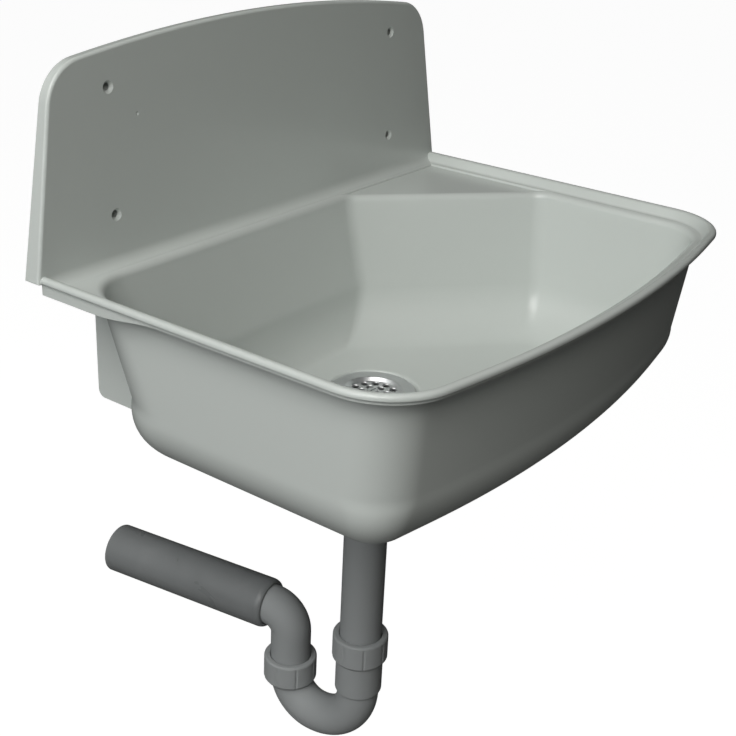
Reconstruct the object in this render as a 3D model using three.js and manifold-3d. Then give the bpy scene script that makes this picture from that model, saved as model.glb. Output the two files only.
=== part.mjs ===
// A wall-hung service sink: one moulded bowl with an upright splash panel, a strainer waste
// and a tubular trap with three union joints. Millimetres, +Z up.
// The origin is in the wall plane (y = 0), on the middle of the sink, at rim height (z = 0).
// +X runs along the wall, to the right of a person facing the sink, and the bowl stands out towards -Y.
import * as THREE from "three";
import { mergeVertices } from "three/addons/utils/BufferGeometryUtils.js";
import Module from "manifold-3d";

const wasm = await Module();
wasm.setup();

// ---------------------------------------------------------------- driving dimensions
// Sink moulding, seen from above
const SINK_WIDTH = 500; // across the outer faces of the rim
const SINK_DEPTH = 356; // wall to the middle of the bowed front
const FRONT_ARC_RADIUS = 1100; // the gentle bow of the front edge
const FRONT_END_ANGLE = 9.6; // degrees that the front has turned back where a corner starts
const RIM_CORNER_RADIUS = 58; // front corners of the rim
const RIM_REAR_RADIUS = 2; // where the rim ends against the splash panel
const LEDGE_WIDTH = 20; // rim face to bowl opening, at the sides and front
const BACK_LEDGE_WIDTH = 16; // splash panel to bowl opening
const BOWL_REAR_RADIUS = 48; // rear left corner of the opening
const BOWL_REAR_GROWTH = 0.18; // that corner's radius grows by this much per millimetre down
const SHELF_RADIUS = 20; // both ends of the slanting rear right wall
const SHELF_BACK_LENGTH = 138; // how far the corner shelf runs along the back of the opening
const SHELF_SIDE_LENGTH = 122; // and along its right side
// Sink moulding, heights and walls
const SHELL = 4; // wall of the moulding
const BEAD_HEIGHT = 3; // top of the rim bead above the rim plane
const BEAD_WIDTH = 9;
const BEAD_DROP = 2.2; // underside of the bead below the rim plane
const LEDGE_DROP = 5.2; // ledge below the rim plane
const SHELF_STEP = 1.8; // corner shelf below the ledge
const SHELF_EDGE = 16.5; // rim face to the foot of that step
const OPENING_ROUND = 6.5; // rounding from ledge to bowl wall
const SKIRT_DEPTH = 11.5; // hem below the rim plane, at the rear of both sides
const SKIRT_FRONT_DEPTH = 5; // the same hem at the front
const SKIRT_TAPER_START = 70; // distance from the wall where the hem begins to shorten
const SKIRT_TAPER_END = 130; // and where it has shortened
const BOWL_DEPTH = 137; // rim plane to the edge of the bowl floor
const BOWL_BOTTOM_RADIUS = 48; // wall to floor
const BACK_BOTTOM_SHARE = 0.45; // the back wall's bottom curve is that much tighter in plan
const SIDE_DRAFT = 0.07; // millimetres inwards per millimetre down
const FRONT_DRAFT = 0.11;
const SHELF_DRAFT = 0.12;
const BACK_DRAFT = 0.2;
const CORNER_TIGHTENING = 24; // the corners' radii shrink by this much round the bottom curve
const SHELF_TIGHTENING = 6; // and those at both ends of the slanting wall by this much
const FRONT_TIGHTENING = 160; // and the bowed front's, so that its arc ends before the corners
const FLOOR_FALL = 1; // floor edge to drain recess
// Splash panel
const SPLASH_DEPTH = 15; // wall to the panel's face, at rim height
const SPLASH_LEAN = 0.04; // millimetres towards the wall per millimetre up
const SPLASH_OVERHANG = 2; // panel's foot beyond the rim's face, at each side
const SPLASH_WIDTH = SINK_WIDTH + 2 * SPLASH_OVERHANG; // at rim height
const SPLASH_TOP = 166.8; // middle of the arched top edge, above the rim plane
const SPLASH_TOP_RADIUS = 1430;
const SPLASH_TOP_END_ANGLE = 8; // degrees that the top has turned down at a corner
const SPLASH_CORNER_RADIUS = 36;
const SPLASH_SIDE_SLOPE = 0.176; // millimetres inwards per millimetre up
const SPLASH_EDGE_ROUND = 2.6;
const SPLASH_FLANGE_DRAFT = 0.6; // how much the flange draws in towards the wall
const COVE_RADIUS = 8; // hollow between ledge and splash panel
const WEB_THICKNESS = 5; // floor of the hollow behind the panel, centred on the rim plane
const SCREW_SPACING_X = 348;
const SCREW_SPACING_Z = 95.5;
const SCREW_CENTRE_Z = 80.75;
const SCREW_HOLE = 5.5; // diameter
const SCREW_COUNTERSINK = 9.5; // diameter
const SCREW_BOSS = 15; // outside diameter of the boss behind each hole
const PIP_X = -147; // a small blind mark beside the upper left hole
const PIP_Z = 105;
const PIP_DIAMETER = 3;
const PIP_DEPTH = 1.5;
// Stays that rest on the wall behind the bowl
const STAY_X = 186; // middle plane of each stay from the middle of the sink
const STAY_THICKNESS = 4;
const STAY_BOTTOM = 118; // below the rim plane
const STAY_CORNER = 8;
const STAY_BITE = 2; // how far a stay runs into the bowl's wall
const STAY_SET_BACK = 3; // and how far its top stays behind it, clear of the rounded opening
// Drain
const DRAIN_X = 4; // drain axis to the right of the middle
const DRAIN_FROM_SPLASH = 117; // and to the panel's face at rim height
const RECESS_DIAMETER = 77;
const RECESS_DEPTH = 4;
const FLAT_SHARE = 0.68; // radius of the flat round the recess, as a share of its diameter
const RECESS_SEAT = 12; // width of the seat between the drain hole and the recess's wall
const DRAIN_HOLE = RECESS_DIAMETER - 2 * RECESS_SEAT;
const RECESS_DRAFT = 1.5;
const SEAT_GAP = 0.3; // air between pieces that rest on each other
// Strainer waste
const GASKET_THICKNESS = 1.5;
const GASKET_EDGE = 1.5; // gasket inside the edge of its flange
const STRAINER_CLEARANCE = 2; // radial, strainer in its recess
const STRAINER_DIAMETER = RECESS_DIAMETER - 2 * STRAINER_CLEARANCE;
const STRAINER_FLANGE = 2; // thickness
const STRAINER_DISH = 3.5; // the grid below the flange
const STRAINER_GRID_CLEARANCE = 3.5; // radial, dished grid in the drain hole
const STRAINER_GRID_RADIUS = DRAIN_HOLE / 2 - STRAINER_GRID_CLEARANCE;
const STRAINER_HOLE = 6.4; // diameter
const STRAINER_HOLE_EDGE = 4; // outer ring of holes inside the grid's edge
const STRAINER_RING_STEP = 7.5;
const STRAINER_RINGS = [
  { radius: STRAINER_GRID_RADIUS - STRAINER_HOLE_EDGE - STRAINER_RING_STEP, count: 7 },
  { radius: STRAINER_GRID_RADIUS - STRAINER_HOLE_EDGE, count: 12 },
];
const WASTE_FLANGE_REACH = 10.5; // radial, waste's flange beyond the drain hole
const WASTE_FLANGE_DIAMETER = DRAIN_HOLE + 2 * WASTE_FLANGE_REACH;
const WASTE_FLANGE = 3; // thickness
const WASTE_CUP_REACH = 2.5; // radial, cup's outside beyond the drain hole
const WASTE_CUP_DIAMETER = DRAIN_HOLE + 2 * WASTE_CUP_REACH;
const WASTE_CUP_DEPTH = 22;
const WASTE_CONE_DEPTH = 12;
const WASTE_WALL = 3;
const WASTE_THREAD_LENGTH = 26;
const SCREW_SHANK = 6; // diameter of the screw through the strainer
const SCREW_LENGTH = 26;
const SCREW_HEAD_DIAMETER = 11;
const SCREW_HEAD_HEIGHT = 2.6;
const SCREW_CLEARANCE = 0.3; // radial, round the screw
const INSERT_DIAMETER = 11; // metal nut that the screw turns into
const INSERT_LENGTH = 8;
const HUB_WALL = 3; // plastic round the metal nut
const SPOKE_COUNT = 3;
const SPOKE_THICKNESS = 3;
// Pipework
const PIPE_DIAMETER = 40;
const PIPE_WALL = 1.8;
const SOCKET_CLEARANCE = 0.6; // radial, pipe in socket
const SOCKET_WALL = 1.9;
const THREAD_DIAMETER = 47.2;
const THREAD_LENGTH = 14;
const THREAD_CLEARANCE = 0.4; // radial, nut on thread
const NUT_DIAMETER = 53;
const NUT_HEIGHT = 27;
const NUT_LIP = 3.2; // the nut's inward flange
const NUT_LIP_CLEARANCE = 0.6; // radial, flange round the pipe
const NUT_ROUND = 2.4; // top edge
const NUT_GROOVES = 8;
const NUT_GROOVE_WIDTH = 2.6;
const NUT_GROOVE_DEPTH = 0.7;
const SLIP_RING_THICKNESS = 1.8;
const SEAL_HEIGHT = 6;
const SEAL_TAPER = 1.4; // radial
const SEAL_STANDS_OUT = 1.2; // seal above the socket's mouth
const INLET_NUT_TOP = 393; // below the rim plane
const TRAP_SPACING = 85; // inlet axis to outlet axis
const TRAP_INLET_BEND = 52; // centre-line radius of the bend's first quarter
const TRAP_BEND_START = 460; // below the rim plane, end of the straight inlet socket
const OUTLET_NUT_RISE = 20; // outlet nut's top above the end of the bend
const TRAP_OUTLET_BEND = TRAP_SPACING - TRAP_INLET_BEND; // and of its second quarter
const TRAP_BEND_END = TRAP_BEND_START + TRAP_INLET_BEND - TRAP_OUTLET_BEND;
const OUTLET_NUT_TOP = TRAP_BEND_END - OUTLET_NUT_RISE;
const TRAP_STEP_LENGTH = 4; // socket narrows to the bend over this length
const TAILPIPE_BOTTOM = 440; // below the rim plane
const TAILPIPE_INSERTION = 16; // above the mouth of the waste
const OUTLET_AXIS = 409; // level pipe below the rim plane
const ELBOW_RADIUS = 23; // centre line
const OUTLET_YAW = 8; // degrees, anticlockwise from above: the level pipe turns towards -X
const ELBOW_INSERTION = 18; // elbow inside the outlet's seal
const ELBOW_LEG_INSERTION = 7; // elbow's leg below the seal of the trap's outlet
const OUTLET_DIAMETER = 50;
const OUTLET_WALL = 1.8;
const OUTLET_END = 214; // far end from the elbow's upright leg, along the pipe
const SHOULDER_GAP = 0.5; // end of the elbow's bend to the outlet's drawn-in mouth
const SHOULDER_ROUND = 7;
const LIP_SEAL_LENGTH = 9;

// ---------------------------------------------------------------- fineness
const BOWL_CORNER_STEPS = 8;
const FRONT_STEPS = 10;
const SHELF_CORNER_STEPS = 5;
const SHELF_MIDDLE_STEPS = 2;
const BOTTOM_STEPS = 6;
const PIPE_SIDES = 28;
const RECESS_SIDES = 48;
const HOLE_SIDES = 12;
const BEND_STEPS = 7;

// ---------------------------------------------------------------- small helpers
const radians = THREE.MathUtils.degToRad;
const range = (count) => Array.from({ length: count }, (_, i) => i);
const mix = (a, b, t) => a + (b - a) * t;
const clamp01 = (t) => Math.min(1, Math.max(0, t));

function toSolid(geometry) {
  const bare = geometry.clone();
  bare.deleteAttribute("normal");
  bare.deleteAttribute("uv");
  const merged = mergeVertices(bare, 1e-4);
  const vertProperties = new Float32Array(merged.attributes.position.array);
  const triVerts = new Uint32Array(merged.index.array);
  const solid = new wasm.Manifold(new wasm.Mesh({ numProp: 3, vertProperties, triVerts }));
  if (solid.volume() <= 0) throw new Error("a shape is inside out");
  return solid;
}

function toGeometry(solid) {
  const mesh = solid.getMesh();
  const geometry = new THREE.BufferGeometry();
  geometry.setAttribute("position", new THREE.BufferAttribute(mesh.vertProperties, 3));
  geometry.setIndex(new THREE.BufferAttribute(mesh.triVerts, 1));
  return geometry;
}

function join(...geometries) {
  const solids = geometries.map(toSolid);
  return toGeometry(solids.reduce((whole, next) => whole.add(next)));
}

function cut(geometry, ...cutters) {
  const body = toSolid(geometry);
  return toGeometry(cutters.map(toSolid).reduce((whole, next) => whole.subtract(next), body));
}

// Six times the volume, negative where the faces point inwards.
function signedVolume(points, triangles) {
  const cross = new THREE.Vector3();
  return triangles.reduce((sum, [a, b, c]) => {
    return sum + points[a].dot(cross.crossVectors(points[b], points[c]));
  }, 0);
}

// A skin over rings of equally many points. A closed skin joins its last ring to its first,
// and an open one gets a flat fan over each end.
function loft(rings, closed) {
  const count = rings[0].length;
  const points = rings.flat();
  const triangles = [];
  const spans = closed ? rings.length : rings.length - 1;
  for (const ring of range(spans)) {
    const here = ring * count;
    const there = ((ring + 1) % rings.length) * count;
    for (const i of range(count)) {
      const next = (i + 1) % count;
      triangles.push([here + i, here + next, there + next]);
      triangles.push([here + i, there + next, there + i]);
    }
  }
  if (!closed) {
    for (const end of [0, rings.length - 1]) {
      const middle = new THREE.Vector3();
      rings[end].forEach((point) => middle.addScaledVector(point, 1 / count));
      points.push(middle);
      for (const i of range(count)) {
        const edge = [end * count + ((i + 1) % count), end * count + i];
        if (end) edge.reverse();
        triangles.push([points.length - 1, ...edge]);
      }
    }
  }
  if (signedVolume(points, triangles) < 0) triangles.forEach((triangle) => triangle.reverse());
  const geometry = new THREE.BufferGeometry().setFromPoints(points);
  geometry.setIndex(triangles.flat());
  return geometry;
}

// A turned piece. The profile is a closed list of [radius, z].
function turned(profile, sides = PIPE_SIDES) {
  const rings = profile.map(([radius, z]) => {
    return range(sides).map((i) => {
      const angle = (i / sides) * 2 * Math.PI;
      return new THREE.Vector3(radius * Math.cos(angle), radius * Math.sin(angle), z);
    });
  });
  return loft(rings, true);
}

// A turned piece without a bore, from the profile's first radius to its last.
function turnedSolid(profile, sides = PIPE_SIDES) {
  const points = profile.map(([radius, z]) => new THREE.Vector2(radius, z));
  const lathe = new THREE.LatheGeometry(points, sides);
  return lathe.rotateX(Math.PI / 2);
}

// A plain upright bar, for drilling or joining.
const plug = (radius, low, high, sides = HOLE_SIDES) => {
  const cylinder = new THREE.CylinderGeometry(radius, radius, high - low, sides);
  return cylinder.rotateX(Math.PI / 2).translate(0, 0, (low + high) / 2);
};

// A pipe along stations {at, along, outer, inner} that lie in the plane x = 0.
function pipeAlong(stations, sides = PIPE_SIDES) {
  const ringAt = ({ at, along }, radius) => {
    const side = new THREE.Vector3(1, 0, 0);
    const up = new THREE.Vector3().crossVectors(along, side).normalize();
    return range(sides).map((i) => {
      const angle = (i / sides) * 2 * Math.PI;
      const point = at.clone().addScaledVector(side, radius * Math.cos(angle));
      return point.addScaledVector(up, radius * Math.sin(angle));
    });
  };
  const outside = stations.map((station) => ringAt(station, station.outer));
  const inside = stations.map((station) => ringAt(station, station.inner)).reverse();
  return loft([...outside, ...inside], true);
}

const station = (y, z, along, outer, inner) => {
  return { at: new THREE.Vector3(0, y, z), along: along.clone().normalize(), outer, inner };
};

// ---------------------------------------------------------------- outlines with round corners
// A corner is {x, y, radius, steps}. One that lies on a straight edge has a spread instead
// of a radius, so that every outline of a family has the same number of points.
function roundedOutline(corners) {
  const points = [];
  corners.forEach((corner, i) => {
    const here = new THREE.Vector2(corner.x, corner.y);
    const before = corners[(i + corners.length - 1) % corners.length];
    const after = corners[(i + 1) % corners.length];
    const into = new THREE.Vector2(corner.x - before.x, corner.y - before.y).normalize();
    const out = new THREE.Vector2(after.x - corner.x, after.y - corner.y).normalize();
    const turn = Math.atan2(into.cross(out), into.dot(out));
    for (const step of range(corner.steps + 1)) {
      const share = step / corner.steps;
      if (corner.spread) {
        points.push(here.clone().addScaledVector(into, corner.spread * (2 * share - 1)));
        continue;
      }
      const reach = corner.radius * Math.tan(turn / 2);
      const start = here.clone().addScaledVector(into, -reach);
      const inward = new THREE.Vector2(-into.y, into.x);
      const centre = start.clone().addScaledVector(inward, corner.radius);
      const arm = start.sub(centre).rotateAround(new THREE.Vector2(), turn * share);
      points.push(centre.add(arm));
    }
  });
  return points;
}

// Moves each edge inwards by its own amount. Edge i runs from corner i to the next one.
function insetCorners(corners, insets, radiusChange = 0) {
  const count = corners.length;
  const edges = corners.map((corner, i) => {
    const next = corners[(i + 1) % count];
    const along = new THREE.Vector2(next.x - corner.x, next.y - corner.y).normalize();
    const inward = new THREE.Vector2(-along.y, along.x);
    const start = new THREE.Vector2(corner.x, corner.y).addScaledVector(inward, insets[i]);
    return { start, along, inward, inset: insets[i] };
  });
  return corners.map((corner, i) => {
    const before = edges[(i + count - 1) % count];
    const after = edges[i];
    const crossing = before.along.cross(after.along);
    let place = new THREE.Vector2(corner.x, corner.y).addScaledVector(after.inward, after.inset);
    if (Math.abs(crossing) > 1e-6) {
      const gap = after.start.clone().sub(before.start);
      place = before.start.clone().addScaledVector(before.along, gap.cross(after.along) / crossing);
    }
    const change = Array.isArray(radiusChange) ? radiusChange[i] : radiusChange;
    const radius = corner.spread ? 0 : Math.max(0.5, corner.radius - change);
    return { ...corner, x: place.x, y: place.y, radius };
  });
}

const ringAtHeight = (corners, z) => {
  return roundedOutline(corners).map(({ x, y }) => new THREE.Vector3(x, y, z));
};

// ---------------------------------------------------------------- sink moulding
const halfWidth = SINK_WIDTH / 2;
const splashFace = -SPLASH_DEPTH; // panel's face at rim height
const rimBack = splashFace + SHELL * 0.75; // the rim's rear edge lies inside the panel
const bowlBack = splashFace - BACK_LEDGE_WIDTH;
const drainY = splashFace - DRAIN_FROM_SPLASH;
const frontSlope = Math.tan(radians(FRONT_END_ANGLE));
const frontPeak = -SINK_DEPTH - FRONT_ARC_RADIUS * (1 / Math.cos(radians(FRONT_END_ANGLE)) - 1);
const frontCornerY = frontPeak + halfWidth * frontSlope;
const openingHalf = halfWidth - LEDGE_WIDTH;
const shelfBackX = openingHalf - SHELF_BACK_LENGTH;
const shelfSideY = bowlBack - SHELF_SIDE_LENGTH;

// Both families run rear left, front left, front middle, front right, then along the shelf:
// its end on the right side, its middle, and its end on the back.
const rimCorners = [
  { x: -halfWidth, y: rimBack, radius: RIM_REAR_RADIUS, steps: BOWL_CORNER_STEPS },
  { x: -halfWidth, y: frontCornerY, radius: RIM_CORNER_RADIUS, steps: BOWL_CORNER_STEPS },
  { x: 0, y: frontPeak, radius: FRONT_ARC_RADIUS, steps: FRONT_STEPS },
  { x: halfWidth, y: frontCornerY, radius: RIM_CORNER_RADIUS, steps: BOWL_CORNER_STEPS },
  { x: halfWidth, y: shelfSideY, spread: SHELF_RADIUS / 2, steps: SHELF_CORNER_STEPS },
  { x: halfWidth, y: rimBack, radius: RIM_REAR_RADIUS, steps: SHELF_MIDDLE_STEPS },
  { x: shelfBackX, y: rimBack, spread: SHELF_RADIUS / 2, steps: SHELF_CORNER_STEPS },
];
const openingFront = insetCorners(rimCorners, rimCorners.map(() => LEDGE_WIDTH), LEDGE_WIDTH);
const bowlCorners = [
  { ...rimCorners[0], x: -openingHalf, y: bowlBack, radius: BOWL_REAR_RADIUS },
  openingFront[1],
  openingFront[2],
  openingFront[3],
  { ...rimCorners[4], x: openingHalf, y: shelfSideY, spread: 0, radius: SHELF_RADIUS },
  {
    x: (openingHalf + shelfBackX) / 2,
    y: (shelfSideY + bowlBack) / 2,
    spread: SHELF_RADIUS,
    steps: SHELF_MIDDLE_STEPS,
  },
  { ...rimCorners[6], x: shelfBackX, y: bowlBack, spread: 0, radius: SHELF_RADIUS },
];
const drafts = [
  SIDE_DRAFT,
  FRONT_DRAFT,
  FRONT_DRAFT,
  SIDE_DRAFT,
  SHELF_DRAFT,
  SHELF_DRAFT,
  BACK_DRAFT,
];
const bottomShares = [1, 1, 1, 1, 1, 1, BACK_BOTTOM_SHARE];
const wallTop = -LEDGE_DROP - OPENING_ROUND;
const bottomStart = -BOWL_DEPTH + BOWL_BOTTOM_RADIUS;
const floorLow = -BOWL_DEPTH - FLOOR_FALL; // floor at the edge of the drain recess
const seatTop = floorLow - RECESS_DEPTH; // recess floor
const seatUnder = seatTop - SHELL;

const growths = [BOWL_REAR_GROWTH, 0, 0, 0, 0, 0, 0];
const tightenings = [
  CORNER_TIGHTENING,
  CORNER_TIGHTENING,
  FRONT_TIGHTENING,
  CORNER_TIGHTENING,
  SHELF_TIGHTENING,
  0,
  SHELF_TIGHTENING,
];

// A ring on the bowl's wall, `wall` outside its inner face.
function wallRing(z, wall) {
  const down = wallTop - z;
  const insets = drafts.map((draft) => draft * down - wall);
  const radii = growths.map((growth) => -wall - growth * down);
  return ringAtHeight(insetCorners(bowlCorners, insets, radii), z);
}

// A ring on the curve between wall and floor, 0 to 90 degrees down it.
function bottomRing(degrees, wall) {
  const angle = radians(degrees);
  const down = wallTop - bottomStart;
  const swept = BOWL_BOTTOM_RADIUS * (1 - Math.cos(angle));
  const insets = drafts.map((draft, i) => {
    return draft * down + swept * bottomShares[i] - wall * Math.cos(angle);
  });
  const radii = tightenings.map((tightening, i) => {
    return tightening * Math.sin(angle) - wall - growths[i] * down;
  });
  const z = bottomStart - (BOWL_BOTTOM_RADIUS + wall) * Math.sin(angle);
  return ringAtHeight(insetCorners(bowlCorners, insets, radii), z);
}

const bottomAngles = range(BOTTOM_STEPS + 1).map((step) => (step / BOTTOM_STEPS) * 90);

// A ring about the drain whose points face those of the bowl's rings.
function drainRing(radius, z) {
  return bottomRing(90, 0).map((point) => {
    const angle = Math.atan2(point.y - drainY, point.x - DRAIN_X);
    const x = DRAIN_X + radius * Math.cos(angle);
    return new THREE.Vector3(x, drainY + radius * Math.sin(angle), z);
  });
}

// A ring on the rim. The rim's rear edge hides in the splash panel, so it has insets of its own.
function rimRing(inset, rearInset, z) {
  const insets = [inset, inset, inset, inset, inset, rearInset, rearInset];
  return ringAtHeight(insetCorners(rimCorners, insets, inset), z);
}

// The lower edge of the hem: deep beside the wall, short at the front, and short under the panel.
function hemRing(inset, rearInset) {
  return rimRing(inset, rearInset, 0).map((point) => {
    const taper = clamp01((-point.y - SKIRT_TAPER_START) / (SKIRT_TAPER_END - SKIRT_TAPER_START));
    const eased = taper * taper * (3 - 2 * taper);
    const underPanel = Math.abs(point.x) < halfWidth - BEAD_WIDTH && point.y > splashFace;
    const depth = underPanel ? BEAD_DROP + 1 : mix(SKIRT_DEPTH, SKIRT_FRONT_DEPTH, eased);
    return new THREE.Vector3(point.x, point.y, -depth);
  });
}

// A ring `out` outside the bowl's opening.
const openingRing = (out, z) => {
  return ringAtHeight(insetCorners(bowlCorners, drafts.map(() => -out), -out), z);
};

// How much each point of a ring belongs to the shelf, easing in where the shelf begins and ends.
const shelfShares = rimCorners.flatMap(({ steps }, corner) => {
  return range(steps + 1).map((step) => [0, 0, 0, 0, step / steps, 1, 1 - step / steps][corner]);
});

function loweredToShelf(ring) {
  return ring.map(({ x, y, z }, i) => new THREE.Vector3(x, y, z - SHELF_STEP * shelfShares[i]));
}

// A ring `inset` from the edge of the ledge. Along the shelf that edge lies further in.
function shelfRing(inset, z) {
  const rearStep = rimBack - splashFace;
  const narrow = rimRing(LEDGE_WIDTH - OPENING_ROUND - 0.2 + inset * 0.3, rearStep * 2.5, z);
  const wide = rimRing(SHELF_EDGE + inset, rearStep * 3, z);
  return narrow.map((point, i) => point.lerp(wide[i], shelfShares[i]));
}

function bowlAndRim() {
  const inside = [
    drainRing(DRAIN_HOLE / 3, floorLow),
    drainRing(RECESS_DIAMETER * FLAT_SHARE, floorLow),
    ...bottomAngles.toReversed().map((degrees) => bottomRing(degrees, 0)),
    wallRing(mix(bottomStart, wallTop, 0.5), 0),
    wallRing(wallTop, 0),
    loweredToShelf(openingRing(OPENING_ROUND * 0.23, wallTop + OPENING_ROUND * 0.64)),
    loweredToShelf(openingRing(OPENING_ROUND * 0.58, wallTop + OPENING_ROUND * 0.91)),
    loweredToShelf(openingRing(OPENING_ROUND, -LEDGE_DROP)),
  ];
  const rearStep = rimBack - splashFace;
  const rim = [
    loweredToShelf(shelfRing(0, -LEDGE_DROP)),
    shelfRing(-1, -LEDGE_DROP + 0.05),
    rimRing(BEAD_WIDTH + 1, rearStep, -LEDGE_DROP + 1.8),
    rimRing(BEAD_WIDTH - 2, rearStep * 0.9, BEAD_HEIGHT - 1.6),
    rimRing(BEAD_WIDTH - 4, rearStep * 0.7, BEAD_HEIGHT - 0.2),
    rimRing(BEAD_WIDTH / 3, rearStep * 0.4, BEAD_HEIGHT),
    rimRing(1, rearStep * 0.15, BEAD_HEIGHT - 1.2),
    rimRing(0, 0, BEAD_HEIGHT - 3.8),
    rimRing(0.6, rearStep * 0.1, -BEAD_DROP + 1),
    rimRing(2.4, rearStep * 0.3, -BEAD_DROP),
    hemRing(2.4, rearStep * 0.3),
    hemRing(2.4 + SHELL * 0.7, rearStep * 0.5),
    rimRing(4.9, rearStep * 0.52, -BEAD_DROP + 0.6),
    rimRing(6.2, rearStep * 0.65, -BEAD_DROP + 1.2),
    rimRing(BEAD_WIDTH + 0.6, rearStep, -BEAD_DROP - 3.8),
    loweredToShelf(rimRing(LEDGE_WIDTH * 0.6, rearStep * 1.4, -LEDGE_DROP - SHELL * 0.6)),
  ];
  const outside = [
    openingRing(SHELL + 1.5, wallTop + 1),
    wallRing(wallTop - 6, SHELL),
    wallRing(mix(bottomStart, wallTop, 0.5), SHELL),
    ...bottomAngles.map((degrees) => bottomRing(degrees, SHELL)),
    drainRing(RECESS_DIAMETER * FLAT_SHARE, floorLow - SHELL),
    drainRing(DRAIN_HOLE / 3, floorLow - SHELL),
  ];
  return loft([...inside, ...rim, ...outside], true);
}

// The round pan that the waste's flange sits in, as it shows under the floor.
function recessPan() {
  const outer = RECESS_DIAMETER / 2 + SHELL;
  const pan = turnedSolid(
    [
      [0, seatUnder],
      [outer - 1, seatUnder],
      [outer, seatUnder + 1],
      [outer + 1, floorLow - SHELL],
      [outer + 1, floorLow - 1],
      [0, floorLow - 1],
    ],
    RECESS_SIDES,
  );
  return pan.translate(DRAIN_X, drainY, 0);
}

function recessCutter() {
  const recess = RECESS_DIAMETER / 2;
  const hole = DRAIN_HOLE / 2;
  const cutter = turnedSolid(
    [
      [0, seatUnder - 1],
      [hole, seatUnder - 1],
      [hole, seatTop],
      [recess, seatTop],
      [recess + RECESS_DRAFT, floorLow - 0.6],
      [recess + RECESS_DRAFT + 1.6, floorLow + 1],
      [0, floorLow + 1],
    ],
    RECESS_SIDES,
  );
  return cutter.translate(DRAIN_X, drainY, 0);
}

// ---------------------------------------------------------------- splash panel
const splashSlope = Math.tan(radians(SPLASH_TOP_END_ANGLE));
const splashPeak =
  SPLASH_TOP + SPLASH_TOP_RADIUS * (1 / Math.cos(radians(SPLASH_TOP_END_ANGLE)) - 1);
const webBottom = -WEB_THICKNESS / 2;
const splashHalf = SPLASH_WIDTH / 2;
const splashSideX = (z) => splashHalf - SPLASH_SIDE_SLOPE * z;
const splashCornerZ =
  (splashPeak - splashHalf * splashSlope) / (1 - SPLASH_SIDE_SLOPE * splashSlope);
const splashFaceY = (z) => splashFace + SPLASH_LEAN * z;

// Seen from the front, x to the right and the outline's second coordinate up, anticlockwise.
const splashCorners = [
  { x: -splashSideX(webBottom), y: webBottom, radius: 1, steps: 1 },
  { x: splashSideX(webBottom), y: webBottom, radius: 1, steps: 1 },
  {
    x: splashSideX(splashCornerZ),
    y: splashCornerZ,
    radius: SPLASH_CORNER_RADIUS,
    steps: BOWL_CORNER_STEPS,
  },
  { x: 0, y: splashPeak, radius: SPLASH_TOP_RADIUS, steps: FRONT_STEPS },
  {
    x: -splashSideX(splashCornerZ),
    y: splashCornerZ,
    radius: SPLASH_CORNER_RADIUS,
    steps: BOWL_CORNER_STEPS,
  },
];

// A ring of the panel's shell. `back` is the distance behind its face, or null in the wall plane.
function splashRing(inset, bottomInset, back) {
  const insets = [bottomInset, inset, inset, inset, inset];
  const outline = roundedOutline(insetCorners(splashCorners, insets, inset));
  return outline.map(({ x, y: z }) => {
    return new THREE.Vector3(x, back === null ? 0 : splashFaceY(z) + back, z);
  });
}

function splashPanel() {
  const round = SPLASH_EDGE_ROUND;
  return loft(
    [
      splashRing(round, 0, 0),
      splashRing(round * 0.3, 0, round * 0.3),
      splashRing(0, 0, round),
      splashRing(SPLASH_FLANGE_DRAFT, 0, null),
      splashRing(SHELL + SPLASH_FLANGE_DRAFT, WEB_THICKNESS, null),
      splashRing(SHELL, WEB_THICKNESS, SHELL),
    ],
    false,
  );
}

// The hollow between ledge and panel, run along the whole back.
function cove() {
  const lower = -LEDGE_DROP;
  const centre = new THREE.Vector2(splashFace - COVE_RADIUS, lower + COVE_RADIUS);
  const outline = new THREE.Shape();
  outline.moveTo(centre.x, lower);
  outline.absarc(centre.x, centre.y, COVE_RADIUS, -Math.PI / 2, 0, false);
  outline.lineTo(rimBack, centre.y);
  outline.lineTo(rimBack, lower - SHELL / 2);
  outline.lineTo(centre.x, lower - SHELL / 2);
  const length = SINK_WIDTH - 2 * BEAD_WIDTH;
  const strip = new THREE.ExtrudeGeometry(outline, {
    depth: length,
    bevelEnabled: false,
    curveSegments: 5,
  });
  // The outline's two axes become y and z, and its depth runs along x.
  const turn = new THREE.Matrix4().makeBasis(
    new THREE.Vector3(0, 1, 0),
    new THREE.Vector3(0, 0, 1),
    new THREE.Vector3(1, 0, 0),
  );
  return strip.applyMatrix4(turn).translate(-length / 2, 0, 0);
}

const screwPlaces = [-1, 1].flatMap((side) => {
  return [-1, 1].map((level) => ({
    x: (side * SCREW_SPACING_X) / 2,
    z: SCREW_CENTRE_Z + (level * SCREW_SPACING_Z) / 2,
  }));
});

// Bosses carry the screws' pull from the panel to the wall.
function screwBoss({ x, z }) {
  const front = splashFaceY(z) + SHELL / 2;
  const boss = new THREE.CylinderGeometry(SCREW_BOSS / 2, SCREW_BOSS / 2, -front, 2 * HOLE_SIDES);
  return boss.translate(x, front / 2, z);
}

function screwHole({ x, z }) {
  const face = splashFaceY(z);
  const sink = (SCREW_COUNTERSINK - SCREW_HOLE) / 2;
  const profile = [
    [0, 1],
    [SCREW_HOLE / 2, 1],
    [SCREW_HOLE / 2, face + sink],
    [SCREW_COUNTERSINK / 2, face],
    [SCREW_COUNTERSINK / 2 + 1, face - 1],
    [0, face - 1],
  ];
  const points = profile.reverse().map(([radius, y]) => new THREE.Vector2(radius, y));
  return new THREE.LatheGeometry(points, HOLE_SIDES).translate(x, 0, z);
}

function pipMark() {
  const face = splashFaceY(PIP_Z);
  const drill = new THREE.CylinderGeometry(PIP_DIAMETER / 2, PIP_DIAMETER / 2, 2 * PIP_DEPTH, 8);
  return drill.translate(PIP_X, face, PIP_Z);
}

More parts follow.
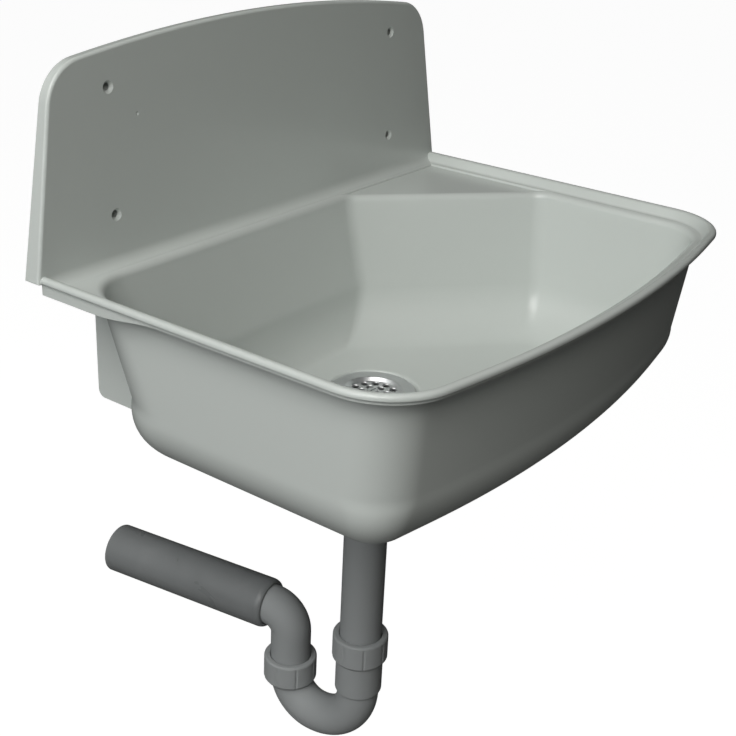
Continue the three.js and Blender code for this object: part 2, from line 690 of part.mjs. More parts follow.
// ---------------------------------------------------------------- stays behind the bowl
// Where the bowl's outer face lies behind x at height z, on the side of the wall.
function bowlOuterY(x, z) {
  const below = (bottomStart - z) / (BOWL_BOTTOM_RADIUS + SHELL);
  const degrees = THREE.MathUtils.radToDeg(Math.asin(clamp01(below)));
  const ring = below > 0 ? bottomRing(degrees, SHELL) : wallRing(z, SHELL);
  const crossings = ring.flatMap((from, i) => {
    const to = ring[(i + 1) % ring.length];
    if (from.x > x === to.x > x) {
      return [];
    }
    return [mix(from.y, to.y, (x - from.x) / (to.x - from.x))];
  });
  return Math.max(...crossings);
}

function stay(x) {
  const top = -LEDGE_DROP - SHELL / 2;
  const bottom = -STAY_BOTTOM;
  const outline = new THREE.Shape();
  outline.moveTo(0, webBottom + 1);
  outline.lineTo(0, bottom + STAY_CORNER);
  outline.absarc(-STAY_CORNER, bottom + STAY_CORNER, STAY_CORNER, 0, -Math.PI / 2, true);
  for (const share of [0, 0.06, 0.12, 0.18, 0.24, 0.3, 0.6, 1]) {
    const z = mix(bottom, wallTop, share);
    outline.lineTo(bowlOuterY(x, Math.min(z, wallTop - 6)) - STAY_BITE, z);
  }
  outline.lineTo(bowlOuterY(x, wallTop - 6) + STAY_SET_BACK, top);
  outline.lineTo(splashFace + 1, top);
  outline.lineTo(splashFace + 1, webBottom + 1);
  const plate = new THREE.ExtrudeGeometry(outline, {
    depth: STAY_THICKNESS,
    bevelEnabled: false,
    curveSegments: 4,
  });
  const turn = new THREE.Matrix4().makeBasis(
    new THREE.Vector3(0, 1, 0),
    new THREE.Vector3(0, 0, 1),
    new THREE.Vector3(1, 0, 0),
  );
  return plate.applyMatrix4(turn).translate(x - STAY_THICKNESS / 2, 0, 0);
}

function sinkBody() {
  const moulding = join(
    bowlAndRim(),
    recessPan(),
    splashPanel(),
    cove(),
    stay(-STAY_X),
    stay(STAY_X),
    ...screwPlaces.map(screwBoss),
  );
  return cut(moulding, recessCutter(), ...screwPlaces.map(screwHole), pipMark());
}

// ---------------------------------------------------------------- strainer waste, about the drain axis
const flangeUnder = seatTop + SEAT_GAP + GASKET_THICKNESS + SEAT_GAP;
const flangeTop = flangeUnder + STRAINER_FLANGE;
const gridTop = flangeTop - STRAINER_DISH;
const gridUnder = gridTop - STRAINER_FLANGE;
const boreClear = DRAIN_HOLE / 2 - 1; // radius of what hangs through the drain hole
const wasteTop = seatUnder - SEAT_GAP - GASKET_THICKNESS - SEAT_GAP;
const wasteFlangeUnder = wasteTop - WASTE_FLANGE;
const cupBottom = wasteTop - WASTE_CUP_DEPTH;
const threadTop = cupBottom - WASTE_CONE_DEPTH;
const wasteMouth = threadTop - WASTE_THREAD_LENGTH;
const screwHeadTop = gridTop + SEAT_GAP + SCREW_HEAD_HEIGHT;
const screwEnd = gridTop - SCREW_LENGTH;
const insertTop = gridTop - SCREW_LENGTH * 0.62;
const pipeRadius = PIPE_DIAMETER / 2;
const socketRadius = pipeRadius + SOCKET_CLEARANCE;
const threadRadius = THREAD_DIAMETER / 2;

function strainerGrid() {
  const edge = STRAINER_DIAMETER / 2;
  const dish = STRAINER_GRID_RADIUS + 1;
  const plate = turned(
    [
      [SCREW_SHANK / 2 + SCREW_CLEARANCE, gridUnder],
      [dish, gridUnder],
      [dish + 1.5, flangeUnder],
      [edge, flangeUnder],
      [edge, flangeTop - 0.8],
      [edge - 1.2, flangeTop],
      [dish + 1.5, flangeTop],
      [dish - 1, gridTop],
      [SCREW_SHANK / 2 + SCREW_CLEARANCE, gridTop],
    ],
    RECESS_SIDES,
  );
  const drills = STRAINER_RINGS.flatMap(({ radius, count }) => {
    return range(count).map((i) => {
      const angle = (i / count) * 2 * Math.PI;
      const drill = plug(STRAINER_HOLE / 2, gridUnder - 1, gridTop + 1, 8);
      return drill.translate(radius * Math.cos(angle), radius * Math.sin(angle), 0);
    });
  });
  return cut(plate, ...drills);
}

const gasket = (outer, inner, low) => {
  return turned([
    [inner, low],
    [outer, low],
    [outer, low + GASKET_THICKNESS],
    [inner, low + GASKET_THICKNESS],
  ]);
};

function strainerScrew() {
  const shank = SCREW_SHANK / 2;
  const head = SCREW_HEAD_DIAMETER / 2;
  const seat = gridTop + SEAT_GAP;
  const body = turnedSolid(
    [
      [0, screwEnd],
      [shank, screwEnd],
      [shank, seat],
      [head, seat],
      [head, screwHeadTop - 1],
      [head - 1.2, screwHeadTop],
      [0, screwHeadTop],
    ],
    2 * HOLE_SIDES,
  );
  const slot = new THREE.BoxGeometry(SCREW_HEAD_DIAMETER + 2, 1.4, 2.4);
  return cut(body, slot.translate(0, 0, screwHeadTop));
}

// A six-sided nut held in the hub of the waste.
function screwInsert() {
  const bore = SCREW_SHANK / 2 + SCREW_CLEARANCE;
  const across = INSERT_DIAMETER / 2;
  const low = insertTop - INSERT_LENGTH;
  const nut = new THREE.CylinderGeometry(across, across, INSERT_LENGTH, 6);
  nut.rotateX(Math.PI / 2).translate(0, 0, low + INSERT_LENGTH / 2);
  return cut(nut, plug(bore, low - 1, insertTop + 1));
}

function wasteBody() {
  const flange = WASTE_FLANGE_DIAMETER / 2;
  const cup = WASTE_CUP_DIAMETER / 2;
  const shell = turned([
    [flange, wasteTop],
    [flange, wasteFlangeUnder],
    [cup, wasteFlangeUnder - 1.5],
    [cup, cupBottom],
    [threadRadius - 1, threadTop],
    [threadRadius, threadTop - 1],
    [threadRadius, wasteMouth + 1],
    [threadRadius - 1, wasteMouth],
    [socketRadius + SEAL_TAPER, wasteMouth],
    [socketRadius, wasteMouth + SEAL_HEIGHT],
    [socketRadius, wasteMouth + TAILPIPE_INSERTION + 2],
    [socketRadius - PIPE_WALL, wasteMouth + TAILPIPE_INSERTION + 3],
    [socketRadius - PIPE_WALL, threadTop + 1],
    [cup - WASTE_WALL, cupBottom + 1],
    [cup - WASTE_WALL, wasteTop - WASTE_FLANGE],
    [boreClear, wasteTop],
  ]);
  const hubRadius = INSERT_DIAMETER / 2 + HUB_WALL;
  const hubTop = insertTop + SEAT_GAP + 1;
  const hubLow = insertTop - INSERT_LENGTH - HUB_WALL;
  const hub = plug(hubRadius, hubLow, hubTop, PIPE_SIDES);
  const spokes = range(SPOKE_COUNT).map((i) => {
    const length = cup - WASTE_WALL / 2;
    const spoke = new THREE.BoxGeometry(length, SPOKE_THICKNESS, INSERT_LENGTH);
    spoke.translate(length / 2, 0, insertTop - INSERT_LENGTH / 2 - 1);
    return spoke.rotateZ((i / SPOKE_COUNT) * 2 * Math.PI);
  });
  const pocket = new THREE.CylinderGeometry(1, 1, INSERT_LENGTH + 8, 6);
  pocket.scale(INSERT_DIAMETER / 2 + SEAT_GAP, 1, INSERT_DIAMETER / 2 + SEAT_GAP);
  pocket.rotateX(Math.PI / 2);
  pocket.translate(0, 0, insertTop - INSERT_LENGTH - SEAT_GAP + (INSERT_LENGTH + 8) / 2);
  const through = plug(SCREW_SHANK / 2 + SCREW_CLEARANCE, hubLow - 1, hubTop + 1);
  return cut(join(shell, hub, ...spokes), pocket, through);
}

// ---------------------------------------------------------------- union joints
// Each union is drawn with its nut's lip at z = 0 and the nut reaching down to -NUT_HEIGHT.
const slipTop = -NUT_LIP - SEAT_GAP;
const sealTop = slipTop - SLIP_RING_THICKNESS - SEAT_GAP;
const mouthDepth = -sealTop + SEAL_STANDS_OUT; // socket's mouth below the nut's top

function unionNut() {
  const outer = NUT_DIAMETER / 2;
  const thread = threadRadius + THREAD_CLEARANCE;
  const lip = pipeRadius + NUT_LIP_CLEARANCE;
  const profile = [
    [outer - NUT_ROUND, 0, 0],
    [outer - NUT_ROUND * 0.3, -NUT_ROUND * 0.3, 0],
    [outer, -NUT_ROUND, 0.2],
    [outer, -NUT_ROUND * 1.8, 1],
    [outer, -NUT_HEIGHT + 2, 1],
    [outer - 1.4, -NUT_HEIGHT, 0],
    [thread, -NUT_HEIGHT, 0],
    [thread, -NUT_LIP, 0],
    [lip, -NUT_LIP, 0],
    [lip, 0, 0],
  ];
  // One groove takes three of the five points of a pitch: edge, bottom, edge.
  const pitch = (2 * Math.PI) / NUT_GROOVES;
  const edge = NUT_GROOVE_WIDTH / 2 / outer;
  const spread = (pitch - 2 * edge) / 3;
  const marks = [-edge, 0, edge, edge + spread, edge + 2 * spread];
  const rings = profile.map(([radius, z, depth]) => {
    return range(NUT_GROOVES).flatMap((groove) => {
      return marks.map((mark) => {
        const angle = groove * pitch + mark;
        const r = radius - (mark === 0 ? NUT_GROOVE_DEPTH * depth : 0);
        return new THREE.Vector3(r * Math.cos(angle), r * Math.sin(angle), z);
      });
    });
  });
  return loft(rings, true);
}

const slipRing = () => {
  const outer = threadRadius - SEAT_GAP;
  return turned([
    [socketRadius, slipTop - SLIP_RING_THICKNESS],
    [outer, slipTop - SLIP_RING_THICKNESS],
    [outer, slipTop],
    [socketRadius, slipTop],
  ]);
};

// Wedge ring: square above the socket's mouth, tapered where it presses into it.
const wedgeSeal = () => {
  const gap = SEAT_GAP;
  const outer = socketRadius + SEAL_TAPER - 1.5 * gap;
  const inner = pipeRadius + SOCKET_CLEARANCE / 3;
  const mouth = -mouthDepth;
  return turned([
    [inner, mouth - SEAL_HEIGHT + 2 * gap],
    [inner + gap, mouth - SEAL_HEIGHT + 2 * gap],
    [outer - gap, mouth],
    [outer + 0.6, mouth + gap],
    [outer + 0.6, sealTop],
    [inner, sealTop],
  ]);
};

// The profile of a threaded socket mouth at z = mouth, opening upwards, for stations of a pipe.
const socketMouth = (along, y, mouth) => [
  station(y, mouth, along, threadRadius - 1, socketRadius + SEAL_TAPER),
  station(y, mouth - 1, along, threadRadius, socketRadius + SEAL_TAPER * 0.83),
  station(y, mouth - SEAL_HEIGHT, along, threadRadius, socketRadius),
  station(y, mouth - THREAD_LENGTH, along, threadRadius, socketRadius),
];

function tailpipe() {
  const top = wasteMouth + TAILPIPE_INSERTION;
  const bottom = -TAILPIPE_BOTTOM;
  const inner = pipeRadius - PIPE_WALL;
  return turned([
    [pipeRadius - 0.8, bottom],
    [pipeRadius, bottom + 1],
    [pipeRadius, top - 1],
    [pipeRadius - 0.8, top],
    [inner, top],
    [inner, bottom],
  ]);
}

// ---------------------------------------------------------------- trap bend
const DOWN = new THREE.Vector3(0, 0, -1);
const UP = new THREE.Vector3(0, 0, 1);
const LEVEL = new THREE.Vector3(0, 1, 0);
const bendInner = pipeRadius - PIPE_WALL;
const socketOuter = socketRadius + SOCKET_WALL;
const inletMouth = -INLET_NUT_TOP - mouthDepth;
const outletMouth = -OUTLET_NUT_TOP - mouthDepth;
const shoulderStart = ELBOW_RADIUS + SHOULDER_GAP;
const bendStart = -TRAP_BEND_START;
const bendLow = bendStart - TRAP_INLET_BEND;
const bendEnd = bendLow + TRAP_OUTLET_BEND;

function uBend() {
  const inletQuarter = range(BEND_STEPS + 1).map((step) => {
    const angle = (step / BEND_STEPS) * (Math.PI / 2);
    const along = new THREE.Vector3(0, Math.sin(angle), -Math.cos(angle));
    const y = TRAP_INLET_BEND * (1 - Math.cos(angle));
    const z = bendStart - TRAP_INLET_BEND * Math.sin(angle);
    return station(y, z, along, pipeRadius, bendInner);
  });
  const outletQuarter = range(BEND_STEPS)
    .map((step) => ((step + 1) / BEND_STEPS) * (Math.PI / 2))
    .map((angle) => {
      const along = new THREE.Vector3(0, Math.cos(angle), Math.sin(angle));
      const y = TRAP_INLET_BEND + TRAP_OUTLET_BEND * Math.sin(angle);
      const z = bendLow + TRAP_OUTLET_BEND * (1 - Math.cos(angle));
      return station(y, z, along, pipeRadius, bendInner);
    });
  const straightEnd = bendStart + TRAP_STEP_LENGTH;
  const inlet = [
    ...socketMouth(DOWN, 0, inletMouth),
    station(0, inletMouth - THREAD_LENGTH - 1, DOWN, socketOuter, socketRadius),
    station(0, straightEnd, DOWN, socketOuter, socketRadius),
    station(0, straightEnd - 1, DOWN, socketOuter - 0.8, bendInner),
  ];
  const bend = pipeAlong([...inlet, ...inletQuarter, ...outletQuarter]);
  const collarLow = outletMouth - THREAD_LENGTH;
  const collar = turned([
    [threadRadius - 1, outletMouth],
    [threadRadius, outletMouth - 1],
    [threadRadius, collarLow + 1],
    [threadRadius - 3, collarLow],
    [bendInner + 0.9, bendEnd - 1],
    [bendInner + 0.9, bendEnd - 0.2],
    [socketRadius, bendEnd],
    [socketRadius, outletMouth - SEAL_HEIGHT],
    [socketRadius + SEAL_TAPER, outletMouth],
  ]);
  return join(bend, collar.translate(0, TRAP_SPACING, 0));
}

// ---------------------------------------------------------------- outlet, about the elbow's upright leg
function outletElbow() {
  const axis = -OUTLET_AXIS;
  const legBottom = Math.max(outletMouth - SEAL_HEIGHT - ELBOW_LEG_INSERTION, bendEnd + 1);
  const inner = pipeRadius - PIPE_WALL;
  const quarter = range(BEND_STEPS + 1).map((step) => {
    const angle = (step / BEND_STEPS) * (Math.PI / 2);
    const along = new THREE.Vector3(0, Math.sin(angle), Math.cos(angle));
    const y = ELBOW_RADIUS * (1 - Math.cos(angle));
    const z = axis - ELBOW_RADIUS + ELBOW_RADIUS * Math.sin(angle);
    return station(y, z, along, pipeRadius, inner);
  });
  return pipeAlong([
    station(0, legBottom, UP, pipeRadius - 0.8, inner),
    station(0, legBottom + 1, UP, pipeRadius, inner),
    ...quarter,
    station(ELBOW_RADIUS + ELBOW_INSERTION - 1, axis, LEVEL, pipeRadius, inner),
    station(ELBOW_RADIUS + ELBOW_INSERTION, axis, LEVEL, pipeRadius - 0.8, inner),
  ]);
}

function outletPipe() {
  const axis = -OUTLET_AXIS;
  const outer = OUTLET_DIAMETER / 2;
  const inner = outer - OUTLET_WALL;
  const mouth = socketRadius + SEAT_GAP;
  const round = SHOULDER_ROUND;
  const shoulder = range(5).map((step) => {
    const angle = (step / 4) * (Math.PI / 2);
    const y = shoulderStart + round * (1 - Math.cos(angle));
    const r = mixRadius(outer, round, angle);
    return station(y, axis, LEVEL, r, Math.max(mouth, r - OUTLET_WALL - 1.5));
  });
  return pipeAlong([
    ...shoulder,
    station(shoulderStart + round + 1.5, axis, LEVEL, outer, inner),
    station(OUTLET_END - 0.8, axis, LEVEL, outer, inner),
    station(OUTLET_END, axis, LEVEL, outer - 0.7, inner),
  ]);
}

// Radius of a rounded pipe end: from outer - round * 0.45 at the start to outer.
function mixRadius(outer, round, angle) {
  return outer - round * 0.45 * (1 - Math.sin(angle));
}

function outletLipSeal() {
  const axis = -OUTLET_AXIS;
  const outer = OUTLET_DIAMETER / 2 - OUTLET_WALL - SEAT_GAP;
  const inner = pipeRadius + SEAT_GAP / 2;
  const start = shoulderStart + SHOULDER_ROUND + 2;
  return pipeAlong([
    station(start, axis, LEVEL, outer, inner + 1),
    station(start + 2, axis, LEVEL, outer, inner),
    station(start + LIP_SEAL_LENGTH - 2, axis, LEVEL, outer, inner + 0.6),
    station(start + LIP_SEAL_LENGTH, axis, LEVEL, outer - 0.8, inner + 1.2),
  ]);
}

// ---------------------------------------------------------------- assembly
const finishes = {
  moulding: { color: 0xa3aba6, roughness: 0.22, metalness: 0 },
  pipe: { color: 0x6f7375, roughness: 0.38, metalness: 0 },
  nut: { color: 0x74787a, roughness: 0.42, metalness: 0 },
  waste: { color: 0x5f6365, roughness: 0.45, metalness: 0 },
  rubber: { color: 0x26282a, roughness: 0.8, metalness: 0 },
  steel: { color: 0xc3c6c8, roughness: 0.25, metalness: 1 },
  brass: { color: 0xb79a55, roughness: 0.35, metalness: 1 },
};

function piece(name, geometry, finish) {
  const mesh = new THREE.Mesh(geometry, new THREE.MeshStandardMaterial(finishes[finish]));
  mesh.name = name;
  return mesh;
}

// The three pieces of a union on one axis, with the nut's lip at `level`.
function union(name, level, upsideDown) {
  const group = new THREE.Group();
  group.add(piece(name + "_union_nut", unionNut(), "nut"));
  group.add(piece(name + "_slip_ring", slipRing(), "waste"));
  group.add(piece(name + "_seal", wedgeSeal(), "rubber"));
  group.position.z = level;
  if (upsideDown) group.rotation.x = Math.PI;
  return group;
}

const serviceSink = new THREE.Group();
serviceSink.add(piece("sink_body", sinkBody(), "moulding"));

const waste = new THREE.Group();
waste.position.set(DRAIN_X, drainY, 0);
const wasteFlangeEdge = WASTE_FLANGE_DIAMETER / 2 - GASKET_EDGE;
const strainerEdge = STRAINER_DIAMETER / 2 - GASKET_EDGE;
waste.add(piece("strainer_grid", strainerGrid(), "steel"));
waste.add(piece("strainer_screw", strainerScrew(), "steel"));
waste.add(piece("screw_insert", screwInsert(), "brass"));
const flangeGasketLow = seatTop + SEAT_GAP;
const bodyGasketLow = wasteTop + SEAT_GAP;
waste.add(piece("flange_gasket", gasket(strainerEdge, DRAIN_HOLE / 2, flangeGasketLow), "rubber"));
waste.add(piece("body_gasket", gasket(wasteFlangeEdge, DRAIN_HOLE / 2, bodyGasketLow), "rubber"));
waste.add(piece("waste_body", wasteBody(), "waste"));
waste.add(union("waste", wasteMouth - mouthDepth, true));
waste.add(piece("tailpipe", tailpipe(), "pipe"));
serviceSink.add(waste);

const trap = new THREE.Group();
trap.position.set(DRAIN_X, drainY, 0);
trap.add(piece("u_bend", uBend(), "pipe"));
trap.add(union("inlet", -INLET_NUT_TOP, false));
serviceSink.add(trap);

const outlet = new THREE.Group();
outlet.position.y = TRAP_SPACING;
outlet.rotation.z = radians(OUTLET_YAW);
outlet.add(union("outlet", -OUTLET_NUT_TOP, false));
outlet.add(piece("outlet_elbow", outletElbow(), "pipe"));
outlet.add(piece("outlet_pipe", outletPipe(), "pipe"));
outlet.add(piece("outlet_pipe_seal", outletLipSeal(), "rubber"));
trap.add(outlet);

export default serviceSink;
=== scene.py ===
"""A wall-hung service sink: the moulded bowl with its splash panel, the strainer waste and the trap.

Lengths in the code are millimetres until a mesh is made, and the meshes are in metres, in the
frame's own axes: +X along the wall, +Y into the wall, +Z up, with the rim plane at zero.
"""

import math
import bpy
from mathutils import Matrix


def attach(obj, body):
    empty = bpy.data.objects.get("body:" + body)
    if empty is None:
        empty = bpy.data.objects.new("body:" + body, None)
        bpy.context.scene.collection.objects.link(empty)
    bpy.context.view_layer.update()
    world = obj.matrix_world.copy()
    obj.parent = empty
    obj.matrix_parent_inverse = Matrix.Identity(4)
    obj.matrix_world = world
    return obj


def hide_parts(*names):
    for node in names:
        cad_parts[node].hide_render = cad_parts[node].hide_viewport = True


bl_info = {
    "name": "Wall-hung service sink",
    "version": (1, 0, 0),
    "blender": (4, 5, 0),
    "location": "3D View > Sidebar > Sink",
    "description": "Builds a moulded service sink with its waste and trap",
    "category": "Add Mesh",
}

from collections import namedtuple

import bmesh
import bpy
from bpy.props import FloatProperty, FloatVectorProperty, IntProperty, PointerProperty
from mathutils import Matrix, Vector

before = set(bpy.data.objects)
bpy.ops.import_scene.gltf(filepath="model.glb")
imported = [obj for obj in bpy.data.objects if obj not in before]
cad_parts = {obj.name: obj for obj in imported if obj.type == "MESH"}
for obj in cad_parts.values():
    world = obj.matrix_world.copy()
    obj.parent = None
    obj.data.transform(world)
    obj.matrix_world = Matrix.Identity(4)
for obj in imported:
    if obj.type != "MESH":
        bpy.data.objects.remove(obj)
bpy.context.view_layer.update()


# ---------------------------------------------------------------- settings
def length(name, words, millimetres):
    metres = millimetres / 1000
    return FloatProperty(name=name, description=words, default=metres, min=0, unit="LENGTH", precision=4)


def share(name, words, value):
    return FloatProperty(name=name, description=words, default=value, min=0, max=1, subtype="FACTOR")


def number(name, words, value, least):
    return IntProperty(name=name, description=words, default=value, min=least)


def colour(name, words, value):
    return FloatVectorProperty(
        name=name, description=words, default=value, min=0, max=1, size=3, subtype="COLOR"
    )


class SinkSizes(bpy.types.PropertyGroup):
    """Sizes of the moulding."""

    width: length("Width", "Across the outer faces of the rim", 500)
    depth: length("Depth", "Wall to the middle of the bowed front", 356)
    rim_corner: length("Rim corner", "Radius of the front corners of the rim", 58)
    ledge: length("Ledge", "Rim face to the bowl's opening", 20)
    bead: length("Bead", "Width of the raised bead round the rim", 9)
    bead_height: length("Bead height", "Top of the bead above the rim plane", 3)
    ledge_drop: length("Ledge drop", "Ledge below the rim plane", 5.2)
    shelf_step: length("Shelf step", "Corner shelf below the ledge", 1.8)
    wall: length("Wall", "Thickness of the moulding", 4)
    bowl_depth: length("Bowl depth", "Rim plane to the edge of the bowl's floor", 137)
    bowl_bottom: length("Bottom radius", "Curve between wall and floor", 48)
    splash_top: length("Panel height", "Middle of the splash panel's top above the rim plane", 166.8)
    splash_edge: length("Panel edge", "Rounding of the splash panel's front edge", 2.6)
    corner_steps: number("Corner steps", "Points on each round corner", 20, 4)


class PipeSizes(bpy.types.PropertyGroup):
    """Sizes of the waste and the trap."""

    pipe: length("Pipe", "Outside diameter of tailpipe and trap", 40)
    outlet: length("Outlet", "Outside diameter of the level pipe", 50)
    nut: length("Nut", "Diameter of the union nuts", 53)
    nut_height: length("Nut height", "Height of the union nuts", 27)
    nut_grooves: number("Grip grooves", "Grooves round each union nut", 8, 0)
    round_steps: number("Round steps", "Points round each pipe", 96, 12)


class SinkFinishes(bpy.types.PropertyGroup):
    """Colours and gloss."""

    moulding: colour("Moulding", "Light grey green moulded plastic", (0.43, 0.452, 0.425))
    moulding_gloss: share("Moulding roughness", "Roughness of the moulded plastic", 0.23)
    pipe: colour("Pipe", "Mid grey pipe plastic", (0.205, 0.215, 0.218))
    pipe_gloss: share("Pipe roughness", "Roughness of the pipe plastic", 0.31)
    nut: colour("Nut", "Mid grey nut plastic", (0.24, 0.25, 0.252))
    waste: colour("Waste", "Dark grey waste plastic", (0.16, 0.17, 0.172))
    rubber: colour("Rubber", "Black rubber", (0.022, 0.022, 0.024))
    steel: colour("Steel", "Stainless steel", (0.62, 0.62, 0.61))
    brass: colour("Brass", "Turned brass", (0.60, 0.44, 0.19))


def settings():
    scene = bpy.context.scene
    return scene.sink_sizes, scene.sink_pipes, scene.sink_finishes


# ---------------------------------------------------------------- meshes
AXIS = 0.01  # the radius that stands for the axis itself where a turned piece has no bore


def finished_object(name, mesh, material, angle=32):
    """A smooth-shaded object whose flats stay flat, linked to the scene."""
    mesh.validate()
    mesh.materials.clear()
    mesh.materials.append(material)
    mesh.shade_smooth()
    mesh.set_sharp_from_angle(angle=math.radians(angle))
    piece = bpy.data.objects.new(name, mesh)
    bpy.context.collection.objects.link(piece)
    weighted = piece.modifiers.new("flats stay flat", "WEIGHTED_NORMAL")
    weighted.keep_sharp = True
    weighted.weight = 70
    return piece


def mesh_from(name, points, faces):
    """A closed mesh from millimetre points, facing outwards."""
    mesh = bpy.data.meshes.new(name)
    mesh.from_pydata([tuple(0.001 * v for v in point) for point in points], [], faces)
    shape = bmesh.new()
    shape.from_mesh(mesh)
    bmesh.ops.remove_doubles(shape, verts=shape.verts, dist=1e-6)
    bmesh.ops.recalc_face_normals(shape, faces=shape.faces)
    shape.to_mesh(mesh)
    shape.free()
    return mesh


def loft(name, rings, closed):
    """A skin over rings of equally many points. An open one gets a flat face over each end."""
    count = len(rings[0])
    points = [point for ring in rings for point in ring]
    faces = []
    spans = len(rings) if closed else len(rings) - 1
    for ring in range(spans):
        here = ring * count
        there = ((ring + 1) % len(rings)) * count
        for i in range(count):
            after = (i + 1) % count
            faces.append((here + i, here + after, there + after, there + i))
    if not closed:
        last = (len(rings) - 1) * count
        faces.append(tuple(reversed(range(count))))
        faces.append(tuple(last + i for i in range(count)))
    return mesh_from(name, points, faces)


def turned(name, profile, sides, radius_at=None):
    """A turned mesh about Z. The profile is a closed list of (radius, z)."""
    rings = []
    for radius, z in profile:
        ring = []
        for i in range(sides):
            angle = 2 * math.pi * i / sides
            here = radius_at(radius, z, angle) if radius_at else radius
            ring.append((here * math.cos(angle), here * math.sin(angle), z))
        rings.append(ring)
    return loft(name, rings, True)


def turned_solid(name, profile, sides):
    """A turned mesh without a bore, from its lowest point on the axis to its highest."""
    rings = []
    for radius, z in profile:
        angles = [2 * math.pi * i / sides for i in range(sides)]
        rings.append([(radius * math.cos(angle), radius * math.sin(angle), z) for angle in angles])
    return loft(name, rings, False)


def bore_cutter(radius, low, high, sides=32):
    """A plain round cutter about Z."""
    return turned_solid("bore", [(AXIS, low), (radius, low), (radius, high), (AXIS, high)], sides)


def hexagon(radius, z):
    """A ring of six corners, two of them on the Y axis."""
    angles = [math.pi / 3 * i for i in range(6)]
    return [(radius * math.sin(angle), -radius * math.cos(angle), z) for angle in angles]


def moved(mesh, x=0, y=0, z=0):
    mesh.transform(Matrix.Translation((0.001 * x, 0.001 * y, 0.001 * z)))
    return mesh


def rounded_path(corners, steps=5):
    """An open or closed run of (a, b, radius) with its corners rounded, as (a, b)."""
    path = []
    for i, (a, b, radius) in enumerate(corners):
        here = Vector((a, b))
        if not radius or i in (0, len(corners) - 1):
            path.append((a, b))
            continue
        into = (here - Vector(corners[i - 1][:2])).normalized()
        out = (Vector(corners[i + 1][:2]) - here).normalized()
        turn = math.atan2(into.cross(out), into.dot(out))
        reach = radius * math.tan(abs(turn) / 2)
        side = math.copysign(1, turn)
        start = here - into * reach
        centre = start + Vector((-into.y, into.x)) * radius * side
        arm = start - centre
        for step in range(steps + 1):
            spun = Matrix.Rotation(turn * step / steps, 2) @ arm
            path.append(tuple(centre + spun))
    return path


def cut(mesh, cutters, name="cut"):
    """The mesh less every cutter."""
    target = bpy.data.objects.new(name, mesh)
    bpy.context.collection.objects.link(target)
    tool_shape = bmesh.new()
    for cutter in cutters:
        tool_shape.from_mesh(cutter)
    tool_mesh = bpy.data.meshes.new(name + " tool")
    tool_shape.to_mesh(tool_mesh)
    tool_shape.free()
    tool = bpy.data.objects.new(name + " tool", tool_mesh)
    bpy.context.collection.objects.link(tool)
    difference = target.modifiers.new("cut", "BOOLEAN")
    difference.operation = "DIFFERENCE"
    difference.solver = "EXACT"
    difference.object = tool
    bpy.context.view_layer.update()
    evaluated = target.evaluated_get(bpy.context.evaluated_depsgraph_get())
    result = bpy.data.meshes.new_from_object(evaluated)
    bpy.data.objects.remove(target)
    bpy.data.objects.remove(tool)
    if not result.polygons:
        raise RuntimeError("nothing is left of " + name)
    return result


def joined(name, meshes):
    """Several meshes as one."""
    shape = bmesh.new()
    for mesh in meshes:
        shape.from_mesh(mesh)
    result = bpy.data.meshes.new(name)
    shape.to_mesh(result)
    shape.free()
    return result


# ---------------------------------------------------------------- outlines with round corners
# A corner with a spread lies on a straight edge: its points only keep every ring equally long.
# The last number is how many points follow on the edge to the next corner.
Corner = namedtuple("Corner", "x y radius steps spread between", defaults=(0, 0))


def rounded_outline(corners):
    """Points anticlockwise along the corners' arcs and the edges between them."""
    arcs = []
    count = len(corners)
    for i, corner in enumerate(corners):
        points = []
        arcs.append(points)
        here = Vector((corner.x, corner.y))
        before = corners[i - 1]
        after = corners[(i + 1) % count]
        into = (here - Vector((before.x, before.y))).normalized()
        out = (Vector((after.x, after.y)) - here).normalized()
        turn = math.atan2(into.cross(out), into.dot(out))
        for step in range(corner.steps + 1):
            part = step / corner.steps
            if corner.spread:
                points.append(here + into * corner.spread * (2 * part - 1))
                continue
            start = here - into * corner.radius * math.tan(turn / 2)
            centre = start + Vector((-into.y, into.x)) * corner.radius
            points.append(centre + Matrix.Rotation(turn * part, 2) @ (start - centre))
    outline = []
    for i, corner in enumerate(corners):
        ahead = arcs[(i + 1) % count][0]
        outline += arcs[i]
        for k in range(corner.between):
            outline.append(arcs[i][-1].lerp(ahead, (k + 1) / (corner.between + 1)))
    return outline


def inset_corners(corners, insets, tighter=0):
    """Moves each edge inwards by its own amount. Edge i runs from corner i to the next.

    tighter is how much the radii shrink, one number for all or one for each corner.
    """
    count = len(corners)
    edges = []
    for i, corner in enumerate(corners):
        after = corners[(i + 1) % count]
        along = Vector((after.x - corner.x, after.y - corner.y)).normalized()
        inward = Vector((-along.y, along.x))
        edges.append((Vector((corner.x, corner.y)) + inward * insets[i], along, inward))
    result = []
    for i, corner in enumerate(corners):
        start_before, along_before, _ = edges[i - 1]
        start_after, along_after, _ = edges[i]
        crossing = along_before.cross(along_after)
        place = start_after
        if abs(crossing) > 1e-4:
            reach = (start_after - start_before).cross(along_after) / crossing
            place = start_before + along_before * reach
        change = tighter[i] if isinstance(tighter, list) else tighter
        radius = 0 if corner.spread else max(0.5, corner.radius - change)
        result.append(corner._replace(x=place.x, y=place.y, radius=radius))
    return result


def ring_at(corners, z):
    return [(point.x, point.y, z) for point in rounded_outline(corners)]


